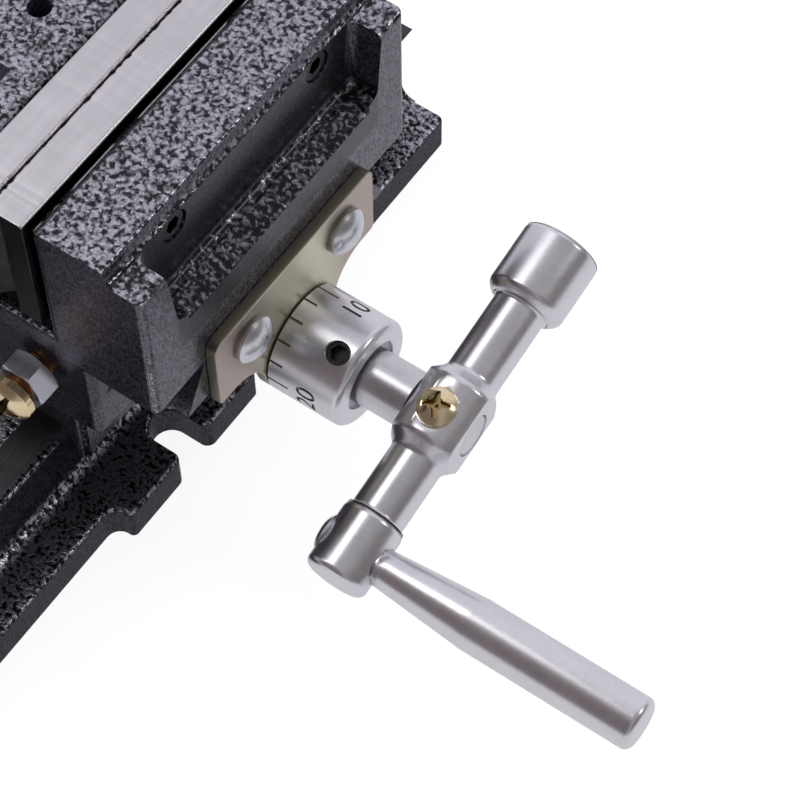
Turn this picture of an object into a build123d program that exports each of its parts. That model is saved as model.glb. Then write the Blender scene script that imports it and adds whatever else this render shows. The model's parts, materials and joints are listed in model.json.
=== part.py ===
from build123d import *
from math import acos, atan2, cos, hypot, radians, sin, sqrt, tan
import os

# Cross slide vise: a machine vise on two crossed dovetail slides, each driven by its own screw.
# The origin is the centre of the base's underside. +X runs along the upper lead screw towards its
# crank, +Y along the base and the jaws, +Z up. All sizes are in millimetres, with the vise closed.

os.makedirs("parts", exist_ok=True)

# Clearances
slide_gap = 0.1        # between the faces of a dovetail and its way
fit_gap = 0.05         # radial, between a turning shaft and its hole
seat_gap = 0.02        # radial, between a pressed or screwed pin and its hole
gib_play = 0.3         # behind a gib, where its screws push
jaw_gap = 0.2          # round the moving jaw's tongue and keeper
lift_gap = 0.5         # between the base's pedestal and the saddle
shaft_room = 0.5       # radial, where a screw passes a wall without touching it
sink_gap = 0.3         # radial, round a head or a rivet in its counterbore
past = 1.0             # how far a cut runs past a face, or an added form into its neighbour
drill_past = 6.0       # how much deeper a tapped hole is than its screw
tip_room = 0.5         # the same, for a blind hole in a thin part

# Heights of the three screw axes
base_screw_z = 26.0
cross_screw_z = 60.0
vise_screw_z = 115.0

# Base casting
base_length = 248.0
flange_width = 136.0
flange_height = 11.0
lug_reach = 6.0        # how far a clamping lug stands out from the flange
lug_length = 54.0
lug_root_r = 4.0
lug_corner_r = 1.6
slot_width = 10.4
slot_depth = 14.0
slot_mouth_r = 2.7
pedestal_width = 107.0
pedestal_top = 30.0
pedestal_foot_r = 4.5
rail_width = 114.4     # over the rail's top
rail_height = 12.0
flank_angle = 60.0
way_width = 9.2
way_relief = 1.5
channel_width = 36.0
channel_floor = 12.0
end_wall = 12.0
cast_edge_r = 1.2
pocket_wall = 5.0
pocket_width = 21.0
pocket_height = 32.0
pocket_end = 24.0
pocket_rib = 8.0
pockets_per_side = 3

# Saddle casting
saddle_y = 18.0        # where the saddle stands along the base
saddle_length = 148.0  # along X
saddle_width = 100.0   # along Y
saddle_lower_width = 92.0
saddle_step_z = 58.0   # between the lower and the upper block
saddle_top = 86.5
rail_side_wall = 5.2
gib_side_wall = 7.5
gib_thickness = 5.2
screw_groove_width = 32.0
screw_groove_floor = 50.5
screw_groove_r = 3.0
saddle_edge_r = 2.5

# Vise body casting
body_length = 188.0
tail_bottom_z = 72.0   # underside of the upper dovetail
tail_height = 14.6
tail_width = 80.0      # over the dovetail's bottom
tail_channel_width = 43.0
tail_front_wall = 14.0
bed_edge = 7.4         # thickness of the bed's edge
bed_rise = 5.5         # the ways stand this much above the edge
bed_ledge = 6.0
bed_slot_width = 26.0
bed_slot_r = 3.0
way_edge_r = 0.8
slot_front_margin = 20.0
rear_wall = 14.5
rear_boss_r = 18.0
rear_foot_width = 66.0

# Jaws
jaw_width = 100.0
jaw_depth = 31.0       # of the fixed jaw, along X
jaw_rise = 37.0        # of both jaws above the ways
wall_step = 4.9        # the fixed jaw's end walls are this much lower
wall_step_back = 1.5   # from the notch's back to the step
notch_depth = 8.5
notch_width = 77.4
notch_draft = 2.6
notch_floor_rise = 11.5
notch_floor_fall = 2.5
notch_r = 3.5
notch_back_r = 2.8
cast_r = 3.5           # cast corners beside the jaw plates
soft_r = 2.0
foot_r = 4.0           # corners of the moving jaw's foot and boss
ledge_r = 1.5          # edges of the jaw's foot, the rear wall and the saddle's upper block
plate_thickness = 10.0
plate_width = 102.6
plate_height = 38.2
plate_rise = 0.3       # above the ways
plate_corner = 4.0
plate_edge = 0.5
closed_gap = 0.4
jaw_wall = 10.6
jaw_foot_depth = 30.6
jaw_foot_height = 10.3
jaw_boss_width = 35.2
jaw_boss_depth = 24.1
tongue_length = 26.0
tongue_setback = 2.6   # from the jaw's face
keeper_width = 40.0
keeper_thickness = 5.0
jaw_screw_spread = 54.0
jaw_screw_drop = 8.0   # below the fixed jaw's top
jaw_screw_bite = 7.0   # in the jaw plates
keeper_bolt_bite = 10.0
head_sink = 0.5        # of the jaw screws' heads below the casting's face

# Lead screws, shafts and their ends
lead_r = 6.0
vise_screw_r = 7.0
shank_r = 7.5
crank_end_r = 5.75
screw_chamfer = 1.0
shaft_chamfer = 0.6
nose_r = 6.0
nose_length = 18.0
nose_groove_depth = 1.5
nose_groove_width = 4.0
pin_from_boss = 8.4    # from the boss's end to the pin that runs in the groove
pin_length = 8.0
cross_screw_length = 140.0
base_screw_length = 190.0
vise_crank_x = 24.0    # from the body's rear end to the crank's plane
ring_r = 9.0
ring_length = 4.0
ring_chamfer = 0.5
ring_room = 1.0

# Dial
dial_start = 3.5       # from the casting's face
dial_length = 21.0
dial_r = 14.5
dial_edge_r = 2.0
dial_chamfer = 0.4
dial_recess_r = 9.4
dial_recess_depth = 2.5
dial_screw_at = 18.9
dial_screw_angle = 114.0
dial_screw_r = 3.0
dial_screw_sink = 1.0

# Bracket behind the dial
bracket_thickness = 3.2
bracket_width = 63.2
bracket_screw_spread = 37.4
bracket_corner_r = 3.0
bracket_low_r = 1.5
bracket_sweep_r = 12.0
lobe_r = 14.5
cross_bracket_top = 33.4   # above the screw's axis
cross_bracket_low = 9.0
cross_bracket_screw_z = 22.8
base_bracket_top = 14.0
base_bracket_low = -7.0
base_bracket_screw_z = 6.0
base_bracket_screw_spread = 48.0

# Crank: distances along the arm are from the hub's centre, towards the counterweight
crank_plane = 45.8     # from the casting's face
arm_r = 7.0
hub_r = 10.4
hub_low, hub_high = -8.5, 8.0
hub_shoulder = 3.5
hub_flat = 8.4
hub_setback = 0.2      # of the shaft's end in the hub's outer flat
weight_r = 10.4
weight_start, weight_end = 35.4, 52.8
weight_cone = 2.0
weight_root_r = 8.4
weight_chamfer = 0.8
block_r = 8.2
block_start, block_end = -29.6, -47.8
block_edge_r = 2.0
block_step = 0.9
grip_at = -38.9
grip_seat = 7.8        # from the arm's axis
grip_stem_r = 4.0
grip_neck_r = 4.75
grip_r = 6.8
grip_taper_end = 34.4
grip_end = 80.7
grip_end_r = 2.0
rivet_r = 5.6
rivet_seat = 7.5
rivet_height = 1.6
rivet_crown_r = 2.5
rivet_brow_r, rivet_brow = 4.5, 1.0
crank_screw_at = -1.0
crank_screw_seat = 9.7
crank_screw_length = 13.0
cross_crank_angle = 12.6
base_crank_angle = 12.0
vise_crank_angle = -12.0

# Fasteners: shank radius, head radius, head height
m5_pan = (2.5, 5.0, 3.2)
m6_pan = (3.0, 6.25, 4.5)
m8_pan = (4.0, 6.5, 5.0)
m5_cap = (2.5, 4.25, 5.0)
pan_rim = 0.35         # of a pan head's height
socket_flats = 4.0
socket_depth = 2.6
cap_chamfer = 0.4
counterbore_past = 40.0
bracket_screw_depth = 9.0
nut_flats = 13.0
nut_height = 6.4
nut_bevel_angle = 30.0
nut_from_wall = 1.8
gib_screw_out = 10.0   # from the saddle's wall to under the head
gib_screw_spacing = 58.0
gib_screw_rise = 4.5   # above the upper dovetail's wide end
lower_gib_spacing = 30.4
lower_gib_drop = 6.0   # of the lower gib's screws below the rail's top
gib_dimple = 1.5
gib_point_r = 2.5
gib_shoulder_room = 1.0
gib_end_gap = 1.0      # from a gib's end to the saddle's
gib_lift = 0.3         # of the lower gib above the pedestal

# Nuts on the lead screws
lead_nut_length = 24.0
cross_nut_from_end = 6.0   # from the saddle's end
cross_nut_top = 64.0
cross_nut_boss_r = 8.0
nut_bolt_spread = 23.0
nut_bolt_bite = 6.5    # of the upper nut's bolts in the saddle
base_nut_width = 32.0
base_nut_bottom = 17.0
base_nut_bolt_spread = 23.0
base_nut_bolt_top = 56.0
base_nut_bolt_shift = 2.5  # from the nut's middle, clear of the saddle's groove
base_nut_overlap = 2.0     # of the nut below the groove

# Worked out from the sizes above
slope = 1 / tan(radians(flank_angle))
flank_gap = slide_gap / sin(radians(flank_angle))
rail_top = pedestal_top + rail_height
rail_half = rail_width / 2
tail_half = tail_width / 2
tail_top = tail_bottom_z + tail_height
neck_half = tail_half - tail_height * slope
edge_top = tail_top + bed_edge
bed_top = edge_top + bed_rise
jaw_top = bed_top + jaw_rise
body_front = body_length / 2
body_rear = -body_length / 2
jaw_back = body_front - jaw_depth
plate_back = jaw_back - plate_thickness
moving_plate_front = plate_back - closed_gap
moving_face = moving_plate_front - plate_thickness
notch_back = body_front - notch_depth
slot_front = jaw_back - slot_front_margin
rear_face = body_rear + rear_wall
boss_back = moving_face - jaw_boss_depth
tongue_front = moving_face - tongue_setback
tongue_back = tongue_front - tongue_length
pin_x = boss_back + pin_from_boss
jaw_screw_z = jaw_top - jaw_screw_drop
saddle_end = saddle_length / 2
cross_bolt_length = cross_nut_top - screw_groove_floor + nut_bolt_bite
base_bolt_length = base_nut_bolt_top - base_nut_bottom - m5_cap[2]
fixed_screw_length = notch_back - m5_cap[2] - head_sink - jaw_back + jaw_screw_bite
moving_screw_length = jaw_wall - m5_cap[2] - head_sink + jaw_screw_bite
jaw_screws_y = [saddle_y + side * jaw_screw_spread / 2 for side in (-1, 1)]


def block(x0, x1, y0, y1, z0, z1):
    # A box between two corners.
    return Pos((x0 + x1) / 2, (y0 + y1) / 2, (z0 + z1) / 2) * Box(x1 - x0, y1 - y0, z1 - z0)


def prism_x(outline, x0, x1):
    # A closed outline of (y, z) points, carried along X.
    return Pos(x0, 0, 0) * extrude(Plane.YZ * make_face(Polyline(*outline, close=True)), x1 - x0)


def prism_y(outline, y0, y1):
    # A closed outline of (x, z) points, carried along Y.
    return Pos(0, y1, 0) * extrude(Plane.XZ * make_face(Polyline(*outline, close=True)), y1 - y0)


def turned(*profile):
    # A solid of revolution about the local Z axis, from (height, radius) points.
    outline = [(0, profile[0][0])] + [(r, z) for z, r in profile] + [(0, profile[-1][0])]
    return revolve(Plane.XZ * make_face(Polyline(*outline, close=True)), Axis.Z)


def rod(r, z0, z1):
    return Pos(0, 0, z0) * Cylinder(r, z1 - z0, align=(Align.CENTER, Align.CENTER, Align.MIN))


def edges_at(solid, axis, x=None, y=None, z=None):
    # The straight edges along an axis whose middles lie at the given places.
    found = solid.edges().filter_by(axis)
    for name, places in (("X", x), ("Y", y), ("Z", z)):
        if places is not None:
            found = ShapeList(
                e for e in found if any(abs(getattr(e.center(), name) - p) < 0.01 for p in places)
            )
    return found


def rim_at(solid, z, r):
    # The round edges of a given radius at a height on the local Z axis.
    return ShapeList(
        e
        for e in solid.edges().filter_by(GeomType.CIRCLE)
        if abs(e.center().Z - z) < 0.01 and abs(e.radius - r) < 0.01
    )


def along_x(x, y, z):
    # A frame whose Z runs along +X, with its Y up.
    return Plane((x, y, z), x_dir=(0, 1, 0), z_dir=(1, 0, 0)).location


def save(name, *shapes):
    solids = [solid for shape in shapes for solid in shape.solids()]
    export_step(solids[0] if len(solids) == 1 else Compound(solids), f"parts/{name}.step")


# Fasteners stand on their local Z axis, with the seat of the head at zero and the shank below it.
def pan_screw(size, length):
    shank, head, height = size
    rim = pan_rim * height
    rise = height - rim
    dome = (head**2 + rise**2) / (2 * rise)
    middle = height - dome + sqrt(dome**2 - head**2 / 4)
    outline = Polyline((0, height), (0, 0), (head, 0), (head, rim))
    outline += ThreePointArc((head, rim), (head / 2, middle), (0, height))
    return revolve(Plane.XZ * make_face(outline), Axis.Z) + rod(shank, -length, 0)


def cap_screw(size, length):
    shank, head, height = size
    screw = rod(head, 0, height) + rod(shank, -length, 0)
    screw = chamfer(rim_at(screw, height, head), cap_chamfer)
    return screw - Pos(0, 0, height) * socket()


def socket():
    # The hexagonal hole for a key, which reaches down from its own origin.
    return extrude(RegularPolygon(socket_flats / 2, 6, major_radius=False), -socket_depth)


def cap_screw_hole(size, length):
    shank, head, height = size
    return rod(head + seat_gap, 0, height + counterbore_past) + rod(shank + seat_gap, -length, past)


def hex_nut(bore):
    nut = extrude(RegularPolygon(nut_flats / 2, 6, major_radius=False), nut_height)
    corner = nut_flats / sqrt(3)
    bevel = (corner - nut_flats / 2) * tan(radians(nut_bevel_angle))
    nut &= turned(
        (0, nut_flats / 2), (bevel, corner), (nut_height - bevel, corner), (nut_height, nut_flats / 2)
    )
    return nut - rod(bore + seat_gap, -past, nut_height + past)


# Base: flange with clamping lugs, pedestal and dovetail rail
def flange():
    half, lug = flange_width / 2, flange_width / 2 + lug_reach
    plate = Rectangle(flange_width, base_length) + Rectangle(2 * lug, lug_length)
    for side in (-1, 1):
        centre = side * (lug - slot_depth + slot_width / 2)
        plate -= Pos(centre, 0) * Circle(slot_width / 2)
        plate -= Pos(centre + side * slot_depth / 2, 0) * Rectangle(slot_depth, slot_width)
    plate = extrude(plate, flange_height)
    corners = (
        (half, lug_length / 2, lug_root_r),
        (lug, slot_width / 2, slot_mouth_r),
        (lug, lug_length / 2, lug_corner_r),
        (half, base_length / 2, soft_r),
    )
    for x, y, r in corners:
        plate = fillet(edges_at(plate, Axis.Z, x=[-x, x], y=[-y, y]), r)
    return fillet(plate.faces().sort_by(Axis.Z)[-1].edges(), cast_edge_r)


def foot_cove(end):
    # The round that fills the corner between the pedestal and the flange.
    x, z, r = pedestal_width / 2, flange_height, pedestal_foot_r
    inside, below = x - past, z - past
    outline = Polyline((x, z + r), (inside, z + r), (inside, below), (x + r, below), (x + r, z))
    outline += RadiusArc((x + r, z), (x, z + r), r)
    return Pos(0, end, 0) * extrude(Plane.XZ * make_face(outline), 2 * end)


def pockets():
    # Coring below the rail, on both sides of the screw channel, with ribs between.
    run = base_length - 2 * pocket_end
    length = (run - (pockets_per_side - 1) * pocket_rib) / pockets_per_side
    inner = channel_width / 2 + pocket_wall
    cores = []
    for side in (-1, 1):
        for number in range(pockets_per_side):
            y = -run / 2 + length / 2 + number * (length + pocket_rib)
            core = Box(pocket_width, length, 2 * pocket_height)
            core = fillet(core.edges().filter_by(Axis.Z), pedestal_foot_r)
            cores.append(Pos(side * (inner + pocket_width / 2), y, 0) * core)
    return cores


def base():
    end = base_length / 2
    foot = rail_half - rail_height * slope
    casting = flange()
    pedestal = block(-pedestal_width / 2, pedestal_width / 2, -end, end, 0, pedestal_top)
    pedestal = fillet(edges_at(pedestal, Axis.Y, z=[pedestal_top]), cast_edge_r)
    casting += pedestal
    cove = foot_cove(end)
    casting += cove + mirror(cove, Plane.YZ)
    rail = [(-foot, pedestal_top), (-rail_half, rail_top), (rail_half, rail_top), (foot, pedestal_top)]
    casting += prism_y(rail, -end, end)
    relief = rail_half - way_width
    casting -= block(-relief, relief, -end, end, rail_top - way_relief, rail_top)
    channel = channel_width / 2
    casting -= block(-channel, channel, -end + end_wall, end - end_wall, channel_floor, rail_top)
    for core in pockets():
        casting -= core
    station = base_station()
    casting -= station * rod(ring_r + ring_room, -end_wall - past, past)
    for side in (-1, 1):
        hole = rod(m6_pan[0] + seat_gap, -bracket_screw_depth - tip_room, past)
        x = side * base_bracket_screw_spread / 2
        casting -= station * Pos(x, base_bracket_screw_z, 0) * hole
    return casting


# The three places where a screw turns: Z runs out along the screw, X is level and Y is up.
def base_station():
    return Plane((0, -base_length / 2, base_screw_z), x_dir=(1, 0, 0), z_dir=(0, -1, 0)).location


def cross_station():
    return along_x(body_front, saddle_y, cross_screw_z)


def vise_station():
    origin = (body_rear, saddle_y, vise_screw_z)
    return Plane(origin, x_dir=(0, -1, 0), z_dir=(-1, 0, 0)).location


# Saddle: way for the base's rail below, way for the vise body's dovetail above
def lower_gib_outline():
    z0, z1 = pedestal_top + gib_lift, rail_top - slide_gap
    edge = rail_half + flank_gap
    near0, near1 = edge - (rail_top - z0) * slope, edge - (rail_top - z1) * slope
    return [(-near0, z0), (-near1, z1), (-near1 - gib_thickness, z1), (-near0 - gib_thickness, z0)]


def upper_gib_outline():
    z0, z1 = tail_bottom_z + slide_gap, saddle_top - slide_gap
    edge = tail_half + flank_gap
    near0, near1 = edge - (z0 - tail_bottom_z) * slope, edge - (z1 - tail_bottom_z) * slope
    y = saddle_y
    return [
        (y - near0, z0),
        (y - near1, z1),
        (y - near1 - gib_thickness, z1),
        (y - near0 - gib_thickness, z0),
    ]


def lower_gib_screw_places():
    z = rail_top - lower_gib_drop
    wall = lower_wall_x()
    gib = rail_half + flank_gap - (rail_top - z) * slope + gib_thickness
    spots = [saddle_y + n * lower_gib_spacing for n in (-1, 0, 1)]
    frames = [Plane((wall, y, z), x_dir=(0, -1, 0), z_dir=(-1, 0, 0)).location for y in spots]
    return frames, -wall - gib


def upper_gib_screw_places():
    z = tail_bottom_z + gib_screw_rise
    wall = saddle_y - saddle_width / 2
    gib = tail_half + flank_gap - (z - tail_bottom_z) * slope + gib_thickness
    spots = [n * gib_screw_spacing for n in (-1, 0, 1)]
    frames = [Plane((x, wall, z), x_dir=(1, 0, 0), z_dir=(0, -1, 0)).location for x in spots]
    return frames, saddle_width / 2 - gib


def gib_screw(depth):
    # From the wall's outer face at zero: threaded to the gib, then a dog point in its dimple.
    shoulder = gib_point_r * 2 * slope + gib_shoulder_room
    screw = Pos(0, 0, gib_screw_out) * pan_screw(m8_pan, gib_screw_out + depth - shoulder)
    return screw + rod(gib_point_r, -depth - gib_dimple + slide_gap, 0)


def gib_holes(places, depth):
    return [frame * rod(m8_pan[0] + seat_gap, -depth - drill_past, past) for frame in places]


def lower_wall_x():
    return -(rail_half + flank_gap + gib_thickness + gib_play + gib_side_wall)


def saddle():
    half = saddle_lower_width / 2
    lower = block(
        lower_wall_x(), rail_half + flank_gap + rail_side_wall,
        saddle_y - half, saddle_y + half,
        pedestal_top + lift_gap, saddle_step_z,
    )
    lower = fillet(lower.edges().filter_by(Axis.Z), saddle_edge_r)
    half = saddle_width / 2
    upper = block(
        -saddle_end, saddle_end, saddle_y - half, saddle_y + half, saddle_step_z, saddle_top
    )
    upper = fillet(upper.edges().filter_by(Axis.Z), saddle_edge_r)
    upper = fillet(upper.faces().sort_by(Axis.Z)[0].edges(), ledge_r)
    casting = lower + upper
    # Lower way, with room for its gib on the -X side
    edge, room = rail_half + flank_gap, gib_thickness + gib_play
    z0, z1 = pedestal_top, rail_top + slide_gap
    fall, rise = (rail_top - z0) * slope, slide_gap * slope
    way = [(edge - fall, z0), (edge + rise, z1), (-edge - rise - room, z1), (-edge + fall - room, z0)]
    casting -= prism_y(way, saddle_y - saddle_width, saddle_y + saddle_width)
    # Upper way, with room for its gib on the -Y side
    edge = tail_half + flank_gap
    z0, z1 = tail_bottom_z - slide_gap, saddle_top + past
    fall, rise = (z1 - tail_bottom_z) * slope, slide_gap * slope
    way = [
        (saddle_y + edge + rise, z0),
        (saddle_y + edge - fall, z1),
        (saddle_y - edge + fall - room, z1),
        (saddle_y - edge - rise - room, z0),
    ]
    casting -= prism_x(way, -saddle_length, saddle_length)
    # Groove for the cross screw
    groove = block(
        -saddle_length, saddle_length,
        saddle_y - screw_groove_width / 2, saddle_y + screw_groove_width / 2,
        screw_groove_floor, tail_bottom_z,
    )
    casting -= fillet(edges_at(groove, Axis.X, z=[screw_groove_floor]), screw_groove_r)
    for hole in gib_holes(*lower_gib_screw_places()) + gib_holes(*upper_gib_screw_places()):
        casting -= hole
    for frame in cross_nut_bolt_places():
        casting -= frame * rod(m5_cap[0] + seat_gap, -cross_bolt_length - tip_room, 0)
    for frame in base_nut_bolt_places():
        casting -= frame * rod(m5_cap[0] + seat_gap, -base_bolt_length - tip_room, 0)
    return casting


def gib(outline, frames, depth, carry):
    strip = carry(outline)
    for frame in frames:
        strip -= frame * rod(gib_point_r + seat_gap, -depth - gib_dimple, 0)
    return strip


# Nuts of the two lead screws
def cross_nut_x():
    x1 = saddle_end - cross_nut_from_end
    return x1 - lead_nut_length, x1


def cross_nut_bolt_places():
    x = sum(cross_nut_x()) / 2
    return [Pos(x, saddle_y + side * nut_bolt_spread / 2, cross_nut_top) for side in (-1, 1)]


def cross_lead_nut():
    x0, x1 = cross_nut_x()
    half = screw_groove_width / 2 - jaw_gap
    nut = block(x0, x1, saddle_y - half, saddle_y + half, screw_groove_floor, cross_nut_top)
    nut = fillet(edges_at(nut, Axis.X, z=[screw_groove_floor]), screw_groove_r + jaw_gap)
    axis = along_x(x0, saddle_y, cross_screw_z)
    nut += axis * rod(cross_nut_boss_r, 0, lead_nut_length)
    nut -= axis * rod(lead_r + fit_gap, -past, lead_nut_length + past)
    for frame in cross_nut_bolt_places():
        nut -= frame * rod(m5_cap[0] + seat_gap, -cross_bolt_length, 0)
    return nut


def cross_nut_bolts():
    return [frame * cap_screw(m5_cap, cross_bolt_length) for frame in cross_nut_bolt_places()]


def base_nut_y():
    y0 = saddle_y - screw_groove_width / 2 - lead_nut_length + base_nut_overlap
    return y0, y0 + lead_nut_length


def base_nut_bolt_places():
    # Seats of the bolt heads, whose shanks point up.
    y = sum(base_nut_y()) / 2 - base_nut_bolt_shift
    z = base_nut_bottom + m5_cap[2]
    return [Pos(s * base_nut_bolt_spread / 2, y, z) * Rot(180, 0, 0) for s in (-1, 1)]


def base_lead_nut():
    y0, y1 = base_nut_y()
    half = base_nut_width / 2
    nut = block(-half, half, y0, y1, base_nut_bottom, rail_top + slide_gap)
    nut = fillet(nut.edges().filter_by(Axis.Z), soft_r)
    nut -= base_station() * rod(lead_r + fit_gap, -base_length, 0)
    for frame in base_nut_bolt_places():
        nut -= frame * cap_screw_hole(m5_cap, base_bolt_length)
    return nut


def base_nut_bolts():
    return [frame * cap_screw(m5_cap, base_bolt_length) for frame in base_nut_bolt_places()]


# Vise body: dovetail, bed with its ways, fixed jaw and rear wall
def fixed_jaw():
    half = jaw_width / 2
    low = jaw_top - wall_step
    step_x = notch_back - wall_step_back
    profile = [
        (jaw_back, tail_top), (body_front, tail_top), (body_front, low),
        (step_x, low), (step_x, jaw_top), (jaw_back, jaw_top),
    ]
    jaw = prism_y(profile, saddle_y - half, saddle_y + half)
    jaw = fillet(edges_at(jaw, Axis.Y, x=[step_x], z=[low]), notch_r)
    jaw = fillet(edges_at(jaw, Axis.Y, x=[step_x], z=[jaw_top]), cast_edge_r)
    jaw = fillet(edges_at(jaw, Axis.Y, x=[jaw_back], z=[jaw_top]), cast_r)
    jaw = fillet(edges_at(jaw, Axis.Y, x=[body_front], z=[low]), soft_r)
    plan = block(jaw_back, body_front, saddle_y - half, saddle_y + half, tail_top, jaw_top)
    plan = fillet(edges_at(plan, Axis.Z, x=[jaw_back]), cast_r)
    plan = fillet(edges_at(plan, Axis.Z, x=[body_front]), soft_r)
    jaw &= plan
    # Notch between the end walls, open to the front and the top
    floor = bed_top + notch_floor_rise
    low_half = notch_width / 2
    high_half = low_half + notch_draft * (jaw_top + past - floor) / (jaw_top - floor)
    notch = prism_x(
        [
            (saddle_y - low_half, floor), (saddle_y + low_half, floor),
            (saddle_y + high_half, jaw_top + past), (saddle_y - high_half, jaw_top + past),
        ],
        notch_back, body_front + past,
    )
    notch = fillet(edges_at(notch, Axis.X, z=[floor]), notch_r)
    notch = fillet(edges_at(notch, Axis.Y, x=[notch_back], z=[floor]), notch_back_r)
    fall = notch_floor_fall * (notch_depth + past) / notch_depth
    front = body_front + past
    wedge = [(notch_back + notch_r, floor), (front, floor + past), (front, floor - fall)]
    flat = low_half - notch_r
    return jaw - notch - prism_y(wedge, saddle_y - flat, saddle_y + flat)


def rear_screw_wall():
    # The end wall that the vise screw is threaded through: an arch round the bore, whose sides
    # run down at a tangent to a wider foot.
    foot, drop = rear_foot_width / 2, vise_screw_z - edge_top
    touch = acos(rear_boss_r / hypot(foot, drop)) - atan2(drop, foot)
    side, rise = rear_boss_r * cos(touch), rear_boss_r * sin(touch)
    outline = Polyline((side, rise), (foot, -drop), (-foot, -drop), (-side, rise))
    outline += ThreePointArc((-side, rise), (0, rear_boss_r), (side, rise))
    arch = Plane.YZ * Pos(saddle_y, vise_screw_z) * make_face(outline)
    wall = Pos(body_rear, 0, 0) * extrude(arch, rear_wall)
    top = ShapeList(e for e in wall.faces().sort_by(Axis.X)[0].edges() if e.center().Z > bed_top)
    return fillet(top, ledge_r)


def vise_body():
    half = jaw_width / 2
    y0, y1 = saddle_y - half, saddle_y + half
    tail = [
        (saddle_y - tail_half, tail_bottom_z), (saddle_y + tail_half, tail_bottom_z),
        (saddle_y + neck_half, tail_top), (saddle_y - neck_half, tail_top),
    ]
    casting = prism_x(tail, body_rear, body_front)
    edge = block(body_rear, body_front, y0, y1, tail_top, edge_top)
    corners = edges_at(edge, Axis.Z, y=[y0, y1])
    edge = fillet(corners, soft_r)
    edge = fillet(edge.faces().sort_by(Axis.Z)[-1].edges(), cast_edge_r)
    inner = half - bed_ledge
    ways = block(
        body_rear, jaw_back + past, saddle_y - inner, saddle_y + inner, edge_top - past, bed_top
    )
    ways = fillet(edges_at(ways, Axis.X, z=[bed_top]), way_edge_r)
    casting += edge + ways + fixed_jaw() + rear_screw_wall()
    slot = bed_slot_width / 2
    slot_cut = block(
        rear_face, slot_front, saddle_y - slot, saddle_y + slot, tail_bottom_z, bed_top + past
    )
    casting -= fillet(edges_at(slot_cut, Axis.Z, x=[slot_front]), bed_slot_r)
    channel = tail_channel_width / 2
    casting -= block(
        body_rear, body_front - tail_front_wall,
        saddle_y - channel, saddle_y + channel, tail_bottom_z, tail_top,
    )
    casting -= vise_station() * rod(vise_screw_r + fit_gap, -rear_wall - past, past)
    for y in jaw_screws_y:
        casting -= fixed_jaw_screw_place(y) * cap_screw_hole(m5_cap, jaw_depth)
    for side in (-1, 1):
        hole = rod(m6_pan[0] + seat_gap, -bracket_screw_depth - tip_room, past)
        place = Pos(side * bracket_screw_spread / 2, cross_bracket_screw_z, 0)
        casting -= cross_station() * place * hole
    return casting


# Jaw plates and their screws
def fixed_jaw_screw_place(y):
    return along_x(notch_back - m5_cap[2] - head_sink, y, jaw_screw_z)


def moving_jaw_screw_place(y):
    origin = (moving_face - jaw_wall + m5_cap[2] + head_sink, y, jaw_screw_z)
    return Plane(origin, x_dir=(0, -1, 0), z_dir=(-1, 0, 0)).location


def jaw_plate(x0, x1, grip_x, screw_places, screw_length):
    half = plate_width / 2
    y0, y1 = saddle_y - half, saddle_y + half
    z0 = bed_top + plate_rise
    plate = block(x0, x1, y0, y1, z0, z0 + plate_height)
    plate = chamfer(edges_at(plate, Axis.Z, x=[grip_x], y=[y0, y1]), plate_corner)
    plate = chamfer(edges_at(plate, Axis.Y, z=[z0 + plate_height]), plate_edge)
    for place in screw_places:
        plate -= place * rod(m5_cap[0] + seat_gap, -screw_length - tip_room, 0)
    return plate


# Moving jaw: upright wall, boss for the screw's nose, foot and tongue
def moving_jaw():
    half = jaw_width / 2
    y0, y1 = saddle_y - half, saddle_y + half
    wall_back, foot_back = moving_face - jaw_wall, moving_face - jaw_foot_depth
    foot_z = bed_top + jaw_gap
    foot_top = foot_z + jaw_foot_height
    wall = block(wall_back, moving_face, y0, y1, foot_z, jaw_top)
    wall = fillet(edges_at(wall, Axis.Y, x=[moving_face], z=[jaw_top]), cast_r)
    wall = fillet(edges_at(wall, Axis.Y, x=[wall_back], z=[jaw_top]), cast_edge_r)
    plan = block(wall_back, moving_face, y0, y1, foot_z, jaw_top)
    plan = fillet(edges_at(plan, Axis.Z, x=[moving_face]), cast_r)
    plan = fillet(edges_at(plan, Axis.Z, x=[wall_back]), soft_r)
    wall &= plan
    foot = block(foot_back, moving_face - past, y0, y1, foot_z, foot_top)
    foot = fillet(edges_at(foot, Axis.Z, x=[foot_back]), foot_r)
    foot = fillet(edges_at(foot, Axis.Y, x=[foot_back], z=[foot_top]), ledge_r)
    boss_half = jaw_boss_width / 2
    boss = block(
        boss_back, wall_back + past, saddle_y - boss_half, saddle_y + boss_half, foot_z + past, jaw_top
    )
    boss = fillet(edges_at(boss, Axis.Z, x=[boss_back]), foot_r)
    casting = wall + foot + boss
    web_half = bed_slot_width / 2 - jaw_gap
    casting += block(
        tongue_back, tongue_front, saddle_y - web_half, saddle_y + web_half,
        tail_top - jaw_gap, foot_z + past,
    )
    casting -= nose_axis() * rod(nose_r + fit_gap, 0, nose_length + tip_room)
    casting -= nose_axis() * rod(vise_screw_r + shaft_room, -jaw_foot_depth, 0)
    casting -= Pos(pin_x, saddle_y, vise_screw_z) * rod(m6_pan[0] + seat_gap, 0, jaw_top)
    for y in jaw_screws_y:
        casting -= moving_jaw_screw_place(y) * cap_screw_hole(m5_cap, jaw_wall)
    for frame in keeper_bolt_places():
        casting -= frame * rod(m5_cap[0] + seat_gap, -keeper_bolt_length() - drill_past, 0)
    return casting


def nose_axis():
    return along_x(boss_back, saddle_y, vise_screw_z)


def keeper_bolt_length():
    return keeper_thickness + keeper_bolt_bite


def keeper_bolt_places():
    z = tail_top - jaw_gap - keeper_thickness
    xs = (tongue_back + tongue_length / 4, tongue_front - tongue_length / 4)
    return [Pos(x, saddle_y, z) * Rot(180, 0, 0) for x in xs]


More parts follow.
